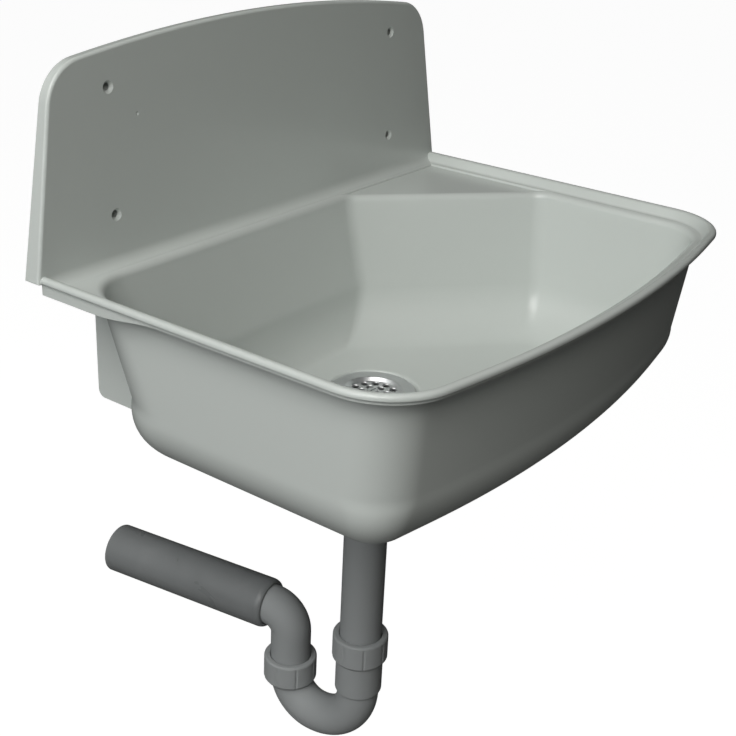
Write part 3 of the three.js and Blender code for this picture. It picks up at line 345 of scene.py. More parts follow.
# ---------------------------------------------------------------- the moulding's own measures
FRONT_ARC = 1100  # radius of the bowed front
FRONT_TURN = math.radians(9.6)  # how far the front's ends turn away from the wall's line
REAR_RADIUS = 2
BACK_LEDGE = 16  # the panel's face to the bowl's opening
REAR_CORNER = 48
REAR_CORNER_GROWTH = 0.18  # the rear corner's radius grows by this much a millimetre down
SHELF_CORNER = 20
SHELF_BACK = 138  # where the slanting wall leaves the back, from the opening's side
SHELF_SIDE = 122  # where it meets the side, from the opening's back
SHELF_EDGE = 16.5  # the rim's face to the shelf's edge
OPENING_ROUND = 6.5
BEAD_DROP = 2.2
HEM_REAR = 11.5
HEM_FRONT = 5
HEM_TAPER = (70, 130)  # distances from the wall between which the hem gets shorter
SIDE_DRAFT, FRONT_DRAFT, SHELF_DRAFT, BACK_DRAFT = 0.07, 0.11, 0.12, 0.2
BACK_BOTTOM_SHARE = 0.45  # the back's part of the bottom curve
CORNER_TIGHTENING, SHELF_TIGHTENING, FRONT_TIGHTENING = 24, 6, 160
FLOOR_FALL = 1
BOTTOM_STEPS = 20
PANEL_FACE = -15
PANEL_LEAN = 0.04
PANEL_HALF = 252
PANEL_TOP_ARC = 1430
PANEL_TOP_TURN = math.radians(8)
PANEL_CORNER = 36
PANEL_SIDE_SLOPE = 0.176
PANEL_DRAW_IN = 0.6
COVE = 8
COVE_FOOT = ((-2.8, -1.7), (-2.7, -1.2), (-2.3, -0.75), (-1.6, -0.4), (-0.9, -0.15))
WEB = 5
SCREWS_X, SCREWS_Z, SCREWS_MIDDLE = 348, 95.5, 80.75
SCREW_BORE, COUNTERSINK = 2.75, 5.1
PIP_X, PIP_Z = -147, 105
STAY_X, STAY_WIDTH, STAY_BOTTOM, STAY_CORNER = 186, 4, 118, 8
STAY_BITE = 2  # how far a stay runs into the bowl's wall
STAY_SET_BACK = 3  # how far its top stays behind that wall, clear of the rounded opening
DRAIN_X = 4
DRAIN_Y = PANEL_FACE - 117
RECESS, RECESS_DEPTH, DRAIN_HOLE = 38.5, 4, 26.5


class MouldingShape:
    """The rings that the moulding's skin runs over."""

    def __init__(self, sizes):
        self.half = 500 * sizes.width
        self.depth = 1000 * sizes.depth
        self.ledge = 1000 * sizes.ledge
        self.bead = 1000 * sizes.bead
        self.bead_top = 1000 * sizes.bead_height
        self.drop = 1000 * sizes.ledge_drop
        self.wall = 1000 * sizes.wall
        self.bowl_depth = 1000 * sizes.bowl_depth
        self.bottom = 1000 * sizes.bowl_bottom
        self.top = 1000 * sizes.splash_top
        self.edge = 1000 * sizes.splash_edge
        self.steps = sizes.corner_steps
        self.rim_back = PANEL_FACE + self.wall * 0.75
        self.bowl_back = PANEL_FACE - BACK_LEDGE
        self.wall_top = -self.drop - OPENING_ROUND
        self.bottom_start = -self.bowl_depth + self.bottom
        self.floor = -self.bowl_depth - FLOOR_FALL
        slope = math.tan(FRONT_TURN)
        peak = -self.depth - FRONT_ARC * (1 / math.cos(FRONT_TURN) - 1)
        corner_y = peak + self.half * slope
        radius = 1000 * sizes.rim_corner
        opening = self.half - self.ledge
        back_x = opening - SHELF_BACK
        side_y = self.bowl_back - SHELF_SIDE
        steps = self.steps
        few = max(4, steps // 2)
        self.shelf_back_x = back_x
        self.rim = [
            Corner(-self.half, self.rim_back, REAR_RADIUS, steps, 0, 20),
            Corner(-self.half, corner_y, radius, steps, 0, 2),
            Corner(0, peak, FRONT_ARC, 2 * steps, 0, 2),
            Corner(self.half, corner_y, radius, steps, 0, 12),
            Corner(self.half, side_y, 0, few, SHELF_CORNER / 2, 5),
            Corner(self.half, self.rim_back, REAR_RADIUS, 4, 0, 5),
            Corner(back_x, self.rim_back, 0, few, SHELF_CORNER / 2, 24),
        ]
        front = inset_corners(self.rim, [self.ledge] * 7, self.ledge)
        self.bowl = [
            self.rim[0]._replace(x=-opening, y=self.bowl_back, radius=REAR_CORNER),
            front[1],
            front[2],
            front[3],
            self.rim[4]._replace(x=opening, radius=SHELF_CORNER, spread=0),
            self.rim[5]._replace(
                x=(opening + back_x) / 2, y=(side_y + self.bowl_back) / 2, radius=0, spread=SHELF_CORNER
            ),
            self.rim[6]._replace(y=self.bowl_back, radius=SHELF_CORNER, spread=0),
        ]
        self.drafts = [SIDE_DRAFT, FRONT_DRAFT, FRONT_DRAFT, SIDE_DRAFT]
        self.drafts += [SHELF_DRAFT, SHELF_DRAFT, BACK_DRAFT]
        self.growths = [REAR_CORNER_GROWTH, 0, 0, 0, 0, 0, 0]
        self.tightenings = [CORNER_TIGHTENING, CORNER_TIGHTENING, FRONT_TIGHTENING, CORNER_TIGHTENING]
        self.tightenings += [SHELF_TIGHTENING, 0, SHELF_TIGHTENING]
        self.shelf_share = []
        for i, corner in enumerate(self.rim):
            for step in range(corner.steps + 1):
                part = step / corner.steps
                self.shelf_share.append((0, 0, 0, 0, part, 1, 1 - part)[i])
            self.shelf_share += [1 if i in (4, 5) else 0] * corner.between
        self.shelf_step = 1000 * sizes.shelf_step

    def lowered(self, ring):
        """Lowers a ring by the shelf's step, easing in where the shelf begins and ends."""
        result = []
        for (x, y, z), part in zip(ring, self.shelf_share):
            result.append((x, y, z - self.shelf_step * part * part * (3 - 2 * part)))
        return result

    def opening_ring(self, out, z):
        return ring_at(inset_corners(self.bowl, [-out] * 7, -out), z)

    def shelf_ring(self, inset, z):
        """A ring inset from the edge of the ledge. Along the shelf that edge lies further in."""
        narrow = self.rim_ring(self.ledge - OPENING_ROUND - 0.4 + inset * 0.3, z)
        wide = self.rim_ring(SHELF_EDGE + inset, z)
        ring = []
        for near, far, part in zip(narrow, wide, self.shelf_share):
            ring.append((near[0] + (far[0] - near[0]) * part, near[1] + (far[1] - near[1]) * part, z))
        return ring

    def wall_ring(self, z, wall):
        down = self.wall_top - z
        insets = [draft * down - wall for draft in self.drafts]
        radii = [-wall - growth * down for growth in self.growths]
        return ring_at(inset_corners(self.bowl, insets, radii), z)

    def bottom_ring(self, angle, wall):
        reach = self.bottom + wall
        down = self.wall_top - self.bottom_start
        swept = self.bottom * (1 - math.cos(angle))
        shares = [1, 1, 1, 1, 1, 1, BACK_BOTTOM_SHARE]
        insets = []
        radii = []
        for i, draft in enumerate(self.drafts):
            insets.append(draft * down + swept * shares[i] - wall * math.cos(angle))
            radii.append(self.tightenings[i] * math.sin(angle) - wall - self.growths[i] * down)
        z = self.bottom_start - reach * math.sin(angle)
        return ring_at(inset_corners(self.bowl, insets, radii), z)

    def drain_ring(self, radius, z):
        ring = []
        for x, y, _ in self.bottom_ring(math.pi / 2, 0):
            angle = math.atan2(y - DRAIN_Y, x - DRAIN_X)
            ring.append((DRAIN_X + radius * math.cos(angle), DRAIN_Y + radius * math.sin(angle), z))
        return ring

    def rim_ring(self, inset, z):
        """A ring on the rim. Its rear edge hides in the splash panel, so it moves by less."""
        step = self.rim_back - PANEL_FACE
        rear = step * inset / self.bead
        if inset > self.bead:
            rear = step * (1 + (inset - self.bead) * 0.28)
        insets = [inset] * 5 + [rear, rear]
        return ring_at(inset_corners(self.rim, insets, inset), z)

    def hem_ring(self, inset, lift=0):
        """The hem's lower edge: deep beside the wall, short at the front and under the panel."""
        ring = []
        for x, y, _ in self.rim_ring(inset, 0):
            low, high = HEM_TAPER
            part = min(1, max(0, (-y - low) / (high - low)))
            eased = part * part * (3 - 2 * part)
            depth = HEM_REAR + (HEM_FRONT - HEM_REAR) * eased
            if abs(x) < self.half - self.bead and y > PANEL_FACE:
                depth = BEAD_DROP + 1
            ring.append((x, y, -depth + lift))
        return ring

    def bowl_and_rim(self):
        """One closed skin from the drain hole up the inside, over the rim and down the outside."""
        turn = math.pi / 2
        shares = [step / BOTTOM_STEPS for step in range(BOTTOM_STEPS + 1)]
        seat = self.floor - RECESS_DEPTH
        under = self.floor - self.wall
        wide = RECESS * 1.36
        recess = [
            (DRAIN_HOLE, seat - self.wall),
            (DRAIN_HOLE, seat - 0.4),
            (DRAIN_HOLE + 0.4, seat),
            (RECESS - 1.2, seat),
            (RECESS - 0.4, seat + 0.3),
            (RECESS, seat + 1.1),
            (RECESS + 1.1, self.floor - 1.1),
            (RECESS + 1.7, self.floor - 0.4),
            (RECESS + 2.8, self.floor - 0.05),
            (RECESS + 4.2, self.floor),
            (wide, self.floor),
        ]
        inner = [self.drain_ring(radius, z) for radius, z in recess]
        inner += [self.bottom_ring(turn * (1 - share), 0) for share in shares]
        middle = (self.bottom_start + self.wall_top) / 2
        inner += [self.wall_ring(z, 0) for z in (self.bottom_start + 4, middle, self.wall_top - 3)]
        for step in range(1, 13):
            angle = turn * step / 12
            out = OPENING_ROUND * (1 - math.cos(angle))
            height = self.wall_top + OPENING_ROUND * math.sin(angle)
            inner.append(self.lowered(self.opening_ring(out, height)))
        shelf = []
        for inset, share_down in ((0.9, 1), (0.35, 0.93), (-0.3, 0.5), (-0.9, 0.07)):
            level = self.shelf_ring(inset, -self.drop)
            low = self.lowered(level)
            shelf.append([(x, y, z + (low[i][2] - z) * share_down) for i, (x, y, z) in enumerate(level)])
        path = rounded_path(
            [
                (self.bead + 3.7, -self.drop, 0),
                (self.bead + 1.9, -self.drop, 3),
                (self.bead - 3.1, self.bead_top, 4),
                (0, self.bead_top, 3),
                (0, -BEAD_DROP, 1.6),
                (2.4, -BEAD_DROP, 0),
            ],
            7,
        )
        rim = [self.rim_ring(inset, z) for inset, z in path]
        hem = [
            self.hem_ring(2.4, 0.6),
            self.hem_ring(2.7, 0.15),
            self.hem_ring(3.2),
            self.hem_ring(4.6),
            self.hem_ring(5.1, 0.3),
            self.rim_ring(5.2, -BEAD_DROP + 0.4),
            self.rim_ring(6.2, -BEAD_DROP + 1.2),
            self.rim_ring(self.bead + 0.6, -BEAD_DROP - 3.9),
            self.lowered(self.rim_ring(self.ledge * 0.62, -self.drop - self.wall * 0.65)),
        ]
        outer = [
            self.opening_ring(self.wall + 1.5, self.wall_top + 1),
            self.wall_ring(self.wall_top - 5, self.wall),
            self.wall_ring(self.wall_top - 9, self.wall),
            self.wall_ring(middle, self.wall),
            self.wall_ring(self.bottom_start + 4, self.wall),
        ]
        outer += [self.bottom_ring(turn * share, self.wall) for share in shares]
        edge = RECESS + self.wall
        pan = [
            (wide, under),
            (edge + 3, under),
            (edge + 1.6, under - 0.4),
            (edge + 1, under - 1.2),
            (edge, seat - self.wall + 1),
            (edge - 0.3, seat - self.wall + 0.3),
            (edge - 1, seat - self.wall),
        ]
        outer += [self.drain_ring(radius, z) for radius, z in pan]
        return loft("bowl and rim", [*inner, *shelf, *rim, *hem, *outer], True)

    # ------------------------------------------------ splash panel
    def face_y(self, z):
        return PANEL_FACE + PANEL_LEAN * z

    def panel_corners(self):
        slope = math.tan(PANEL_TOP_TURN)
        peak = self.top + PANEL_TOP_ARC * (1 / math.cos(PANEL_TOP_TURN) - 1)
        corner_z = (peak - PANEL_HALF * slope) / (1 - PANEL_SIDE_SLOPE * slope)
        low = -WEB / 2

        def side(z):
            return PANEL_HALF - PANEL_SIDE_SLOPE * z

        return [
            Corner(-side(low), low, 1, 2),
            Corner(side(low), low, 1, 2),
            Corner(side(corner_z), corner_z, PANEL_CORNER, self.steps),
            Corner(0, peak, PANEL_TOP_ARC, 2 * self.steps),
            Corner(-side(corner_z), corner_z, PANEL_CORNER, self.steps),
        ]

    def panel_ring(self, inset, bottom_inset, back):
        """back is the distance behind the panel's face, or None in the wall plane."""
        insets = [bottom_inset, inset, inset, inset, inset]
        outline = rounded_outline(inset_corners(self.panel_corners(), insets, inset))
        return [(p.x, 0 if back is None else self.face_y(p.y) + back, p.y) for p in outline]

    def panel(self):
        rings = []
        for step in range(9):
            angle = math.pi / 2 * step / 8
            out = self.edge * (1 - math.sin(angle))
            rings.append(self.panel_ring(out, 0, self.edge * (1 - math.cos(angle))))
        rings += [
            self.panel_ring(PANEL_DRAW_IN, 0, None),
            self.panel_ring(self.wall + PANEL_DRAW_IN, WEB, None),
            self.panel_ring(self.wall - 0.3, WEB, self.wall + 0.8),
            self.panel_ring(self.wall + 0.6, WEB + 0.6, self.wall),
        ]
        return loft("panel", rings, False)

    def cove(self):
        """The hollow between ledge and panel, run along the whole back."""
        centre = (PANEL_FACE - COVE, -self.drop + COVE)
        outline = []
        for step in range(13):
            angle = -math.pi / 2 + math.pi / 2 * step / 12
            lean = PANEL_LEAN * centre[1] * step / 12
            outline.append((centre[0] + COVE * math.cos(angle) + lean, centre[1] + COVE * math.sin(angle)))
        outline[:0] = [(centre[0] + y, -self.drop + z) for y, z in COVE_FOOT]
        outline += [(self.rim_back, centre[1] + 1), (self.rim_back, -self.drop - self.wall / 2)]
        outline += [(centre[0] + COVE_FOOT[0][0], -self.drop - self.wall / 2)]
        reach = self.half - self.bead + 0.5
        rings = [[(x, y, z) for y, z in outline] for x in (-reach, reach)]
        return loft("cove", rings, False)

    # ------------------------------------------------ behind the panel
    def screw_places(self):
        for side in (-1, 1):
            for level in (-1, 1):
                yield side * SCREWS_X / 2, SCREWS_MIDDLE + level * SCREWS_Z / 2

    def along_y(self, mesh, x, z):
        """Lays a mesh that was turned about Z along -Y, at x and z."""
        mesh.transform(Matrix.Rotation(math.pi / 2, 4, "X"))
        return moved(mesh, x=x, z=z)

    def screw_boss(self, x, z):
        front = -self.face_y(z) - self.wall / 2
        corners = [(AXIS, 0, 0), (7.5, 0, 0.5), (7.5, front - 2, 1.6), (9.5, front, 0), (AXIS, front, 0)]
        profile = rounded_path(corners)
        return self.along_y(turned_solid("screw boss", profile, 48), x, z)

    def screw_hole(self, x, z):
        face = -self.face_y(z)
        profile = [
            (AXIS, -1),
            (SCREW_BORE, -1),
            (SCREW_BORE, face - 2.1),
            (COUNTERSINK - 0.35, face - 0.1),
            (COUNTERSINK, face + 0.02),
            (COUNTERSINK, face + 1),
            (AXIS, face + 1),
        ]
        return self.along_y(turned_solid("screw hole", profile, 48), x, z)

    def pip(self):
        """The small dimple in the panel beside its upper left hole."""
        face = -self.face_y(PIP_Z)
        profile = [(AXIS, -1.3), (0.8, -1.2), (1.4, -0.5), (1.7, 0.5), (AXIS, 0.5)]
        profile = [(radius, face + depth) for radius, depth in profile]
        return self.along_y(turned_solid("pip", profile, 24), PIP_X, PIP_Z)

    # ------------------------------------------------ stays
    def bowl_outer_y(self, x, z):
        """Where the bowl's outer face lies behind x at height z, on the side of the wall."""
        below = (self.bottom_start - z) / (self.bottom + self.wall)
        if below > 0:
            ring = self.bottom_ring(math.asin(min(1, below)), self.wall)
        else:
            ring = self.wall_ring(z, self.wall)
        crossings = []
        for (x0, y0, _), (x1, y1, _) in zip(ring, ring[1:] + ring[:1]):
            if (x0 > x) != (x1 > x):
                crossings.append(y0 + (y1 - y0) * (x - x0) / (x1 - x0))
        return max(crossings)

    def stay(self, x):
        top = -self.drop - self.wall / 2
        bottom = -STAY_BOTTOM
        outline = [(0, -WEB / 2 + 1, 0), (0, bottom, STAY_CORNER)]
        for step in range(25):
            z = bottom + (self.wall_top - bottom) * step / 24
            outline.append((self.bowl_outer_y(x, min(z, self.wall_top - 6)) - STAY_BITE, z, 0))
        outline.append((self.bowl_outer_y(x, self.wall_top - 6) + STAY_SET_BACK, top, 0))
        outline += [(PANEL_FACE + 1, top, 0), (PANEL_FACE + 1, -WEB / 2 + 1, 0)]
        path = rounded_path(outline, 8)
        half = STAY_WIDTH / 2
        rings = []
        near = ((0.7, -half), (0.2, -half + 0.2), (0, -half + 0.7))
        far = ((0, half - 0.7), (0.2, half - 0.2), (0.7, half))
        for inset, across in (*near, *far):
            ring = []
            for y, z in path:
                ring.append((x + across, min(y, -inset) if y > -1 else y, max(z, bottom + inset)))
            rings.append(ring)
        return loft("stay", rings, False)

    def parts(self):
        places = list(self.screw_places())
        holes = [self.screw_hole(x, z) for x, z in places]
        panel = cut(self.panel(), [*holes, self.pip()], "panel")
        bosses = [cut(self.screw_boss(x, z), [self.screw_hole(x, z)], "boss") for x, z in places]
        return [self.bowl_and_rim(), panel, self.cove(), self.stay(-STAY_X), self.stay(STAY_X), *bosses]


# ---------------------------------------------------------------- node materials
def new_material(name, base, roughness, **sockets):
    """A material whose Principled shader has its plain values set, ready for detail."""
    material = bpy.data.materials.new(name)
    material.use_nodes = True
    material.diffuse_color = (*base, 1)
    shader = material.node_tree.nodes["Principled BSDF"]
    shader.inputs["Base Color"].default_value = (*base, 1)
    shader.inputs["Roughness"].default_value = roughness
    for socket, value in sockets.items():
        shader.inputs[socket.replace("_", " ")].default_value = value
    return material


class Nodes:
    """Short ways to add the few kinds of node that the finishes use."""

    def __init__(self, material):
        self.tree = material.node_tree
        self.shader = self.tree.nodes["Principled BSDF"]
        self.place = self.tree.nodes.new("ShaderNodeTexCoord").outputs["Object"]

    def link(self, source, target):
        self.tree.links.new(source, target)

    def stretched(self, scale, turn=(0, 0, 0)):
        mapping = self.tree.nodes.new("ShaderNodeMapping")
        mapping.inputs["Scale"].default_value = scale
        mapping.inputs["Rotation"].default_value = turn
        self.link(self.place, mapping.inputs["Vector"])
        return mapping.outputs["Vector"]

    def noise(self, scale, detail=2, rough=0.5, vector=None, distortion=0):
        node = self.tree.nodes.new("ShaderNodeTexNoise")
        node.inputs["Scale"].default_value = scale
        node.inputs["Detail"].default_value = detail
        node.inputs["Roughness"].default_value = rough
        node.inputs["Distortion"].default_value = distortion
        self.link(vector or self.place, node.inputs["Vector"])
        return node.outputs["Fac"]

    def ramp(self, value, stops):
        node = self.tree.nodes.new("ShaderNodeValToRGB")
        node.color_ramp.interpolation = "EASE"
        elements = node.color_ramp.elements
        while len(elements) < len(stops):
            elements.new(0.5)
        for element, (position, tone) in zip(elements, stops):
            element.position = position
            element.color = (*tone, 1) if isinstance(tone, tuple) else (tone, tone, tone, 1)
        self.link(value, node.inputs["Fac"])
        return node.outputs["Color"]

    def spread(self, value, low, high, start=0.3, end=0.7):
        node = self.tree.nodes.new("ShaderNodeMapRange")
        node.inputs["From Min"].default_value = start
        node.inputs["From Max"].default_value = end
        node.inputs["To Min"].default_value = low
        node.inputs["To Max"].default_value = high
        self.link(value, node.inputs["Value"])
        return node.outputs["Result"]

    def blend(self, part, first, second, mode="MIX"):
        node = self.tree.nodes.new("ShaderNodeMix")
        node.data_type = "RGBA"
        node.blend_type = mode
        for socket, value in (("Factor_Float", part), ("A_Color", first), ("B_Color", second)):
            target = next(s for s in node.inputs if s.identifier == socket)
            if isinstance(value, bpy.types.NodeSocket):
                self.link(value, target)
            else:
                target.default_value = value
        return next(s for s in node.outputs if s.identifier == "Result_Color")

    def bump(self, height, strength, distance, below=None):
        node = self.tree.nodes.new("ShaderNodeBump")
        node.inputs["Strength"].default_value = strength
        node.inputs["Distance"].default_value = distance
        self.link(height, node.inputs["Height"])
        if below:
            self.link(below, node.inputs["Normal"])
        self.link(node.outputs["Normal"], self.shader.inputs["Normal"])
        return node.outputs["Normal"]

    def edges(self, start=0.505, end=0.56):
        geometry = self.tree.nodes.new("ShaderNodeNewGeometry")
        return self.spread(geometry.outputs["Pointiness"], 0, 1, start, end)


def tone(base, by):
    """A colour made lighter or darker."""
    return tuple(min(1, value * by) for value in base)


def moulded_plastic(name, base, roughness):
    """Glossy thermoformed sheet: faint mottling, painted highlights on its convex edges, orange peel and
    slow waviness.
    """
    material = new_material(name, base, roughness, IOR=1.49)
    nodes = Nodes(material)
    cloud = nodes.noise(9, 3, 0.55, distortion=0.4)
    mottled = nodes.ramp(cloud, [(0.25, tone(base, 0.965)), (0.55, base), (0.8, tone(base, 1.03))])
    speck = nodes.spread(nodes.noise(1400, 1, 0.4), 0, 0.05, 0.58, 0.75)
    grained = nodes.blend(speck, mottled, (*tone(base, 0.8), 1))
    # painted highlight: convex edges, such as the bead's and the flange's, are painted lighter
    edge = nodes.blend(nodes.edges(), grained, (*tone(base, 1.2), 1))
    nodes.link(edge, nodes.shader.inputs["Base Color"])
    haze = nodes.noise(28, 4, 0.6, distortion=0.8)
    nodes.link(nodes.spread(haze, roughness - 0.035, roughness + 0.05), nodes.shader.inputs["Roughness"])
    wave = nodes.bump(nodes.noise(14, 1, 0.4), 0.25, 0.0012)
    nodes.bump(nodes.noise(620, 2, 0.5), 0.10, 0.0002, wave)
    return material


def pipe_plastic(name, base, roughness, along=None):
    """Satin pipe plastic: drawing lines along it where it is straight, and fine grain."""
    material = new_material(name, base, roughness, IOR=1.48)
    nodes = Nodes(material)
    cloud = nodes.noise(22, 3, 0.6, distortion=0.5)
    mottled = nodes.ramp(cloud, [(0.25, tone(base, 0.90)), (0.55, base), (0.8, tone(base, 1.08))])
    scuff = nodes.noise(90, 5, 0.7, distortion=1.2)
    scuffed = nodes.blend(nodes.spread(scuff, 0, 0.16, 0.60, 0.74), mottled, (*tone(base, 1.45), 1))
    # painted highlight: convex edges are painted lighter
    edge = nodes.blend(nodes.edges(), scuffed, (*tone(base, 1.25), 1))
    nodes.link(edge, nodes.shader.inputs["Base Color"])
    nodes.link(nodes.spread(cloud, roughness - 0.05, roughness + 0.08), nodes.shader.inputs["Roughness"])
    grain = nodes.bump(nodes.noise(900, 3, 0.6), 0.16, 0.00025)
    if along is not None:
        scale, turn = along
        drawn = nodes.stretched(scale, turn)
        nodes.bump(nodes.noise(1, 2, 0.5, drawn), 0.22, 0.00018, grain)
    return material


def rubber_finish(name, base):
    """Dull rubber with a pale bloom and fine grain."""
    material = new_material(name, base, 0.72, IOR=1.5, Specular_IOR_Level=0.35)
    nodes = Nodes(material)
    bloom = nodes.noise(60, 4, 0.6)
    nodes.link(nodes.ramp(bloom, [(0.3, base), (0.75, tone(base, 2.0))]), nodes.shader.inputs["Base Color"])
    nodes.bump(nodes.noise(1500, 3, 0.6), 0.3, 0.0002)
    return material


def metal_finish(name, base, roughness):
    """Turned or brushed metal."""
    material = new_material(name, base, roughness, Metallic=1.0)
    nodes = Nodes(material)
    tint = nodes.noise(35, 3, 0.6)
    tinted = nodes.ramp(tint, [(0.3, tone(base, 0.9)), (0.7, tone(base, 1.05))])
    nodes.link(tinted, nodes.shader.inputs["Base Color"])
    scratch = nodes.noise(1, 3, 0.6, nodes.stretched((300, 4200, 300)))
    nodes.link(nodes.spread(scratch, roughness - 0.06, roughness + 0.12), nodes.shader.inputs["Roughness"])
    nodes.bump(scratch, 0.12, 0.0001)
    return material


def material_for(slot):
    """The finish for one of the record's slots, made once."""
    found = bpy.data.materials.get(slot)
    if found:
        return found
    _, _, finishes = settings()
    upright = ((1100, 1100, 6), (0, 0, 0))
    makers = {
        "moulding": lambda: moulded_plastic(slot, tuple(finishes.moulding), finishes.moulding_gloss),
        "pipe_plastic": lambda: pipe_plastic(slot, tuple(finishes.pipe), finishes.pipe_gloss, upright),
        "nut_plastic": lambda: pipe_plastic(slot, tuple(finishes.nut), finishes.pipe_gloss + 0.04),
        "waste_plastic": lambda: pipe_plastic(slot, tuple(finishes.waste), finishes.pipe_gloss + 0.05),
        "rubber": lambda: rubber_finish(slot, tuple(finishes.rubber)),
        "steel": lambda: metal_finish(slot, tuple(finishes.steel), 0.42),
        "brass": lambda: metal_finish(slot, tuple(finishes.brass), 0.32),
    }
    return makers[slot]()


def at_drain(mesh):
    """Moves a mesh from the Z axis to the drain's axis."""
    return moved(mesh, x=DRAIN_X, y=DRAIN_Y)


def place_piece(node, body, slot, mesh, material=None, angle=32):
    """Puts a finished mesh in the place of a CAD node."""
    piece = finished_object(node + "_skin", mesh, material or material_for(slot), angle)
    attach(piece, body)
    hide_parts(node)
    return piece


# ---------------------------------------------------------------- waste and trap measures
GAP = 0.3
GASKET = 1.5
STRAINER_EDGE, STRAINER_FLANGE, STRAINER_DISH, GRID = 36.5, 2, 3.5, 23
STRAINER_RINGS = ((11.5, 7), (19, 12))
SEAT_TOP = -142
SEAT_UNDER = SEAT_TOP - 4
FLANGE_UNDER = SEAT_TOP + 2 * GAP + GASKET
FLANGE_TOP = FLANGE_UNDER + STRAINER_FLANGE
GRID_TOP = FLANGE_TOP - STRAINER_DISH
GRID_UNDER = GRID_TOP - STRAINER_FLANGE
SCREW_BORE_RADIUS, SCREW_SHANK, SCREW_HEAD = 3.3, 3, 5.5
SCREW_LENGTH = 26
INSERT_TOP = GRID_TOP - SCREW_LENGTH * 0.62
INSERT_HEIGHT, INSERT_RADIUS, INSERT_CLEARANCE = 8, 5.5, 0.3
THREAD_PITCH = 3
WASTE_TOP = SEAT_UNDER - 2 * GAP - GASKET
WASTE_FLANGE, WASTE_FLANGE_RADIUS, CUP_RADIUS, WASTE_WALL = 3, 37, 29, 3
CUP_BOTTOM = WASTE_TOP - 22
THREAD_TOP = CUP_BOTTOM - 12
WASTE_MOUTH = THREAD_TOP - 26
THREAD_RADIUS, THREAD_LENGTH, THREAD_CLEARANCE = 23.6, 14, 0.4
PIPE_WALL, SOCKET_CLEARANCE, SOCKET_WALL = 1.8, 0.6, 1.9
NUT_LIP, SLIP_RING, SEAL_HEIGHT, SEAL_TAPER, SEAL_OUT = 3.2, 1.8, 6, 1.4, 1.2
SLIP_TOP = -NUT_LIP - GAP
SEAL_TOP = SLIP_TOP - SLIP_RING - GAP
MOUTH_DEPTH = -SEAL_TOP + SEAL_OUT
INLET_NUT_TOP, OUTLET_NUT_TOP = -393, -459
TRAP_SPACING, INLET_BEND = 85, 52
OUTLET_BEND = TRAP_SPACING - INLET_BEND
BEND_START, TRAP_STEP = -460, 4
BEND_LOW = BEND_START - INLET_BEND
BEND_END = BEND_LOW + OUTLET_BEND
TAILPIPE_BOTTOM, TAILPIPE_TOP = -440, WASTE_MOUTH + 16
OUTLET_AXIS, ELBOW_RADIUS, OUTLET_YAW = -409, 23, math.radians(8)
SHOULDER_START, SHOULDER_ROUND, OUTLET_END = 23.5, 7, 214
INLET_MOUTH = INLET_NUT_TOP - MOUTH_DEPTH
OUTLET_MOUTH = OUTLET_NUT_TOP - MOUTH_DEPTH
OUTLET_TURN = Matrix.Rotation(OUTLET_YAW, 4, "Z")
OUTLET_PLACE = Matrix.Translation((0.001 * DRAIN_X, 0.001 * (DRAIN_Y + TRAP_SPACING), 0)) @ OUTLET_TURN

Station = namedtuple("Station", "y z along outer inner")
UP, DOWN, LEVEL = Vector((0, 0, 1)), Vector((0, 0, -1)), Vector((0, 1, 0))


def pipe_along(name, stations, sides):
    """A pipe through stations that lie in the plane x = 0."""

    def ring(station, radius):
        side = Vector((1, 0, 0))
        up = station.along.cross(side).normalized()
        middle = Vector((0, station.y, station.z))
        points = []
        for i in range(sides):
            angle = 2 * math.pi * i / sides
            points.append(middle + side * radius * math.cos(angle) + up * radius * math.sin(angle))
        return points

    outside = [ring(station, station.outer) for station in stations]
    inside = [ring(station, station.inner) for station in reversed(stations)]
    return loft(name, outside + inside, True)


def socket_mouth(along, y, mouth, socket, thread):
    """A threaded mouth that opens upwards, with real thread turns below its edge."""
    stations = [
        Station(y, mouth, along, thread - 1.4, socket + SEAL_TAPER),
        Station(y, mouth - 0.6, along, thread - 1.0, socket + SEAL_TAPER * 0.9),
    ]
    for turn in range(int((THREAD_LENGTH - 2) / THREAD_PITCH)):
        top = mouth - 1.2 - turn * THREAD_PITCH
        for drop, height in ((0, -0.9), (0.5, -0.9), (1.1, 0), (1.7, 0), (2.3, -0.9)):
            z = top - drop
            inner = socket + SEAL_TAPER * max(0, 1 - (mouth - z) / SEAL_HEIGHT)
            stations.append(Station(y, z, along, thread + height, inner))
    return stations


# ---------------------------------------------------------------- operators
class SINK_OT_moulding(bpy.types.Operator):
    """Bowl, rim, corner shelf, splash panel and wall stays, as one moulding"""

    bl_idname = "sink.moulding"
    bl_label = "Sink moulding"

    def execute(self, context):
        sizes, _, _ = settings()
        shape = MouldingShape(sizes)
        mesh = joined("sink moulding", shape.parts())
        place_piece("sink_body", "sink", "moulding", mesh, angle=34)
        return {"FINISHED"}


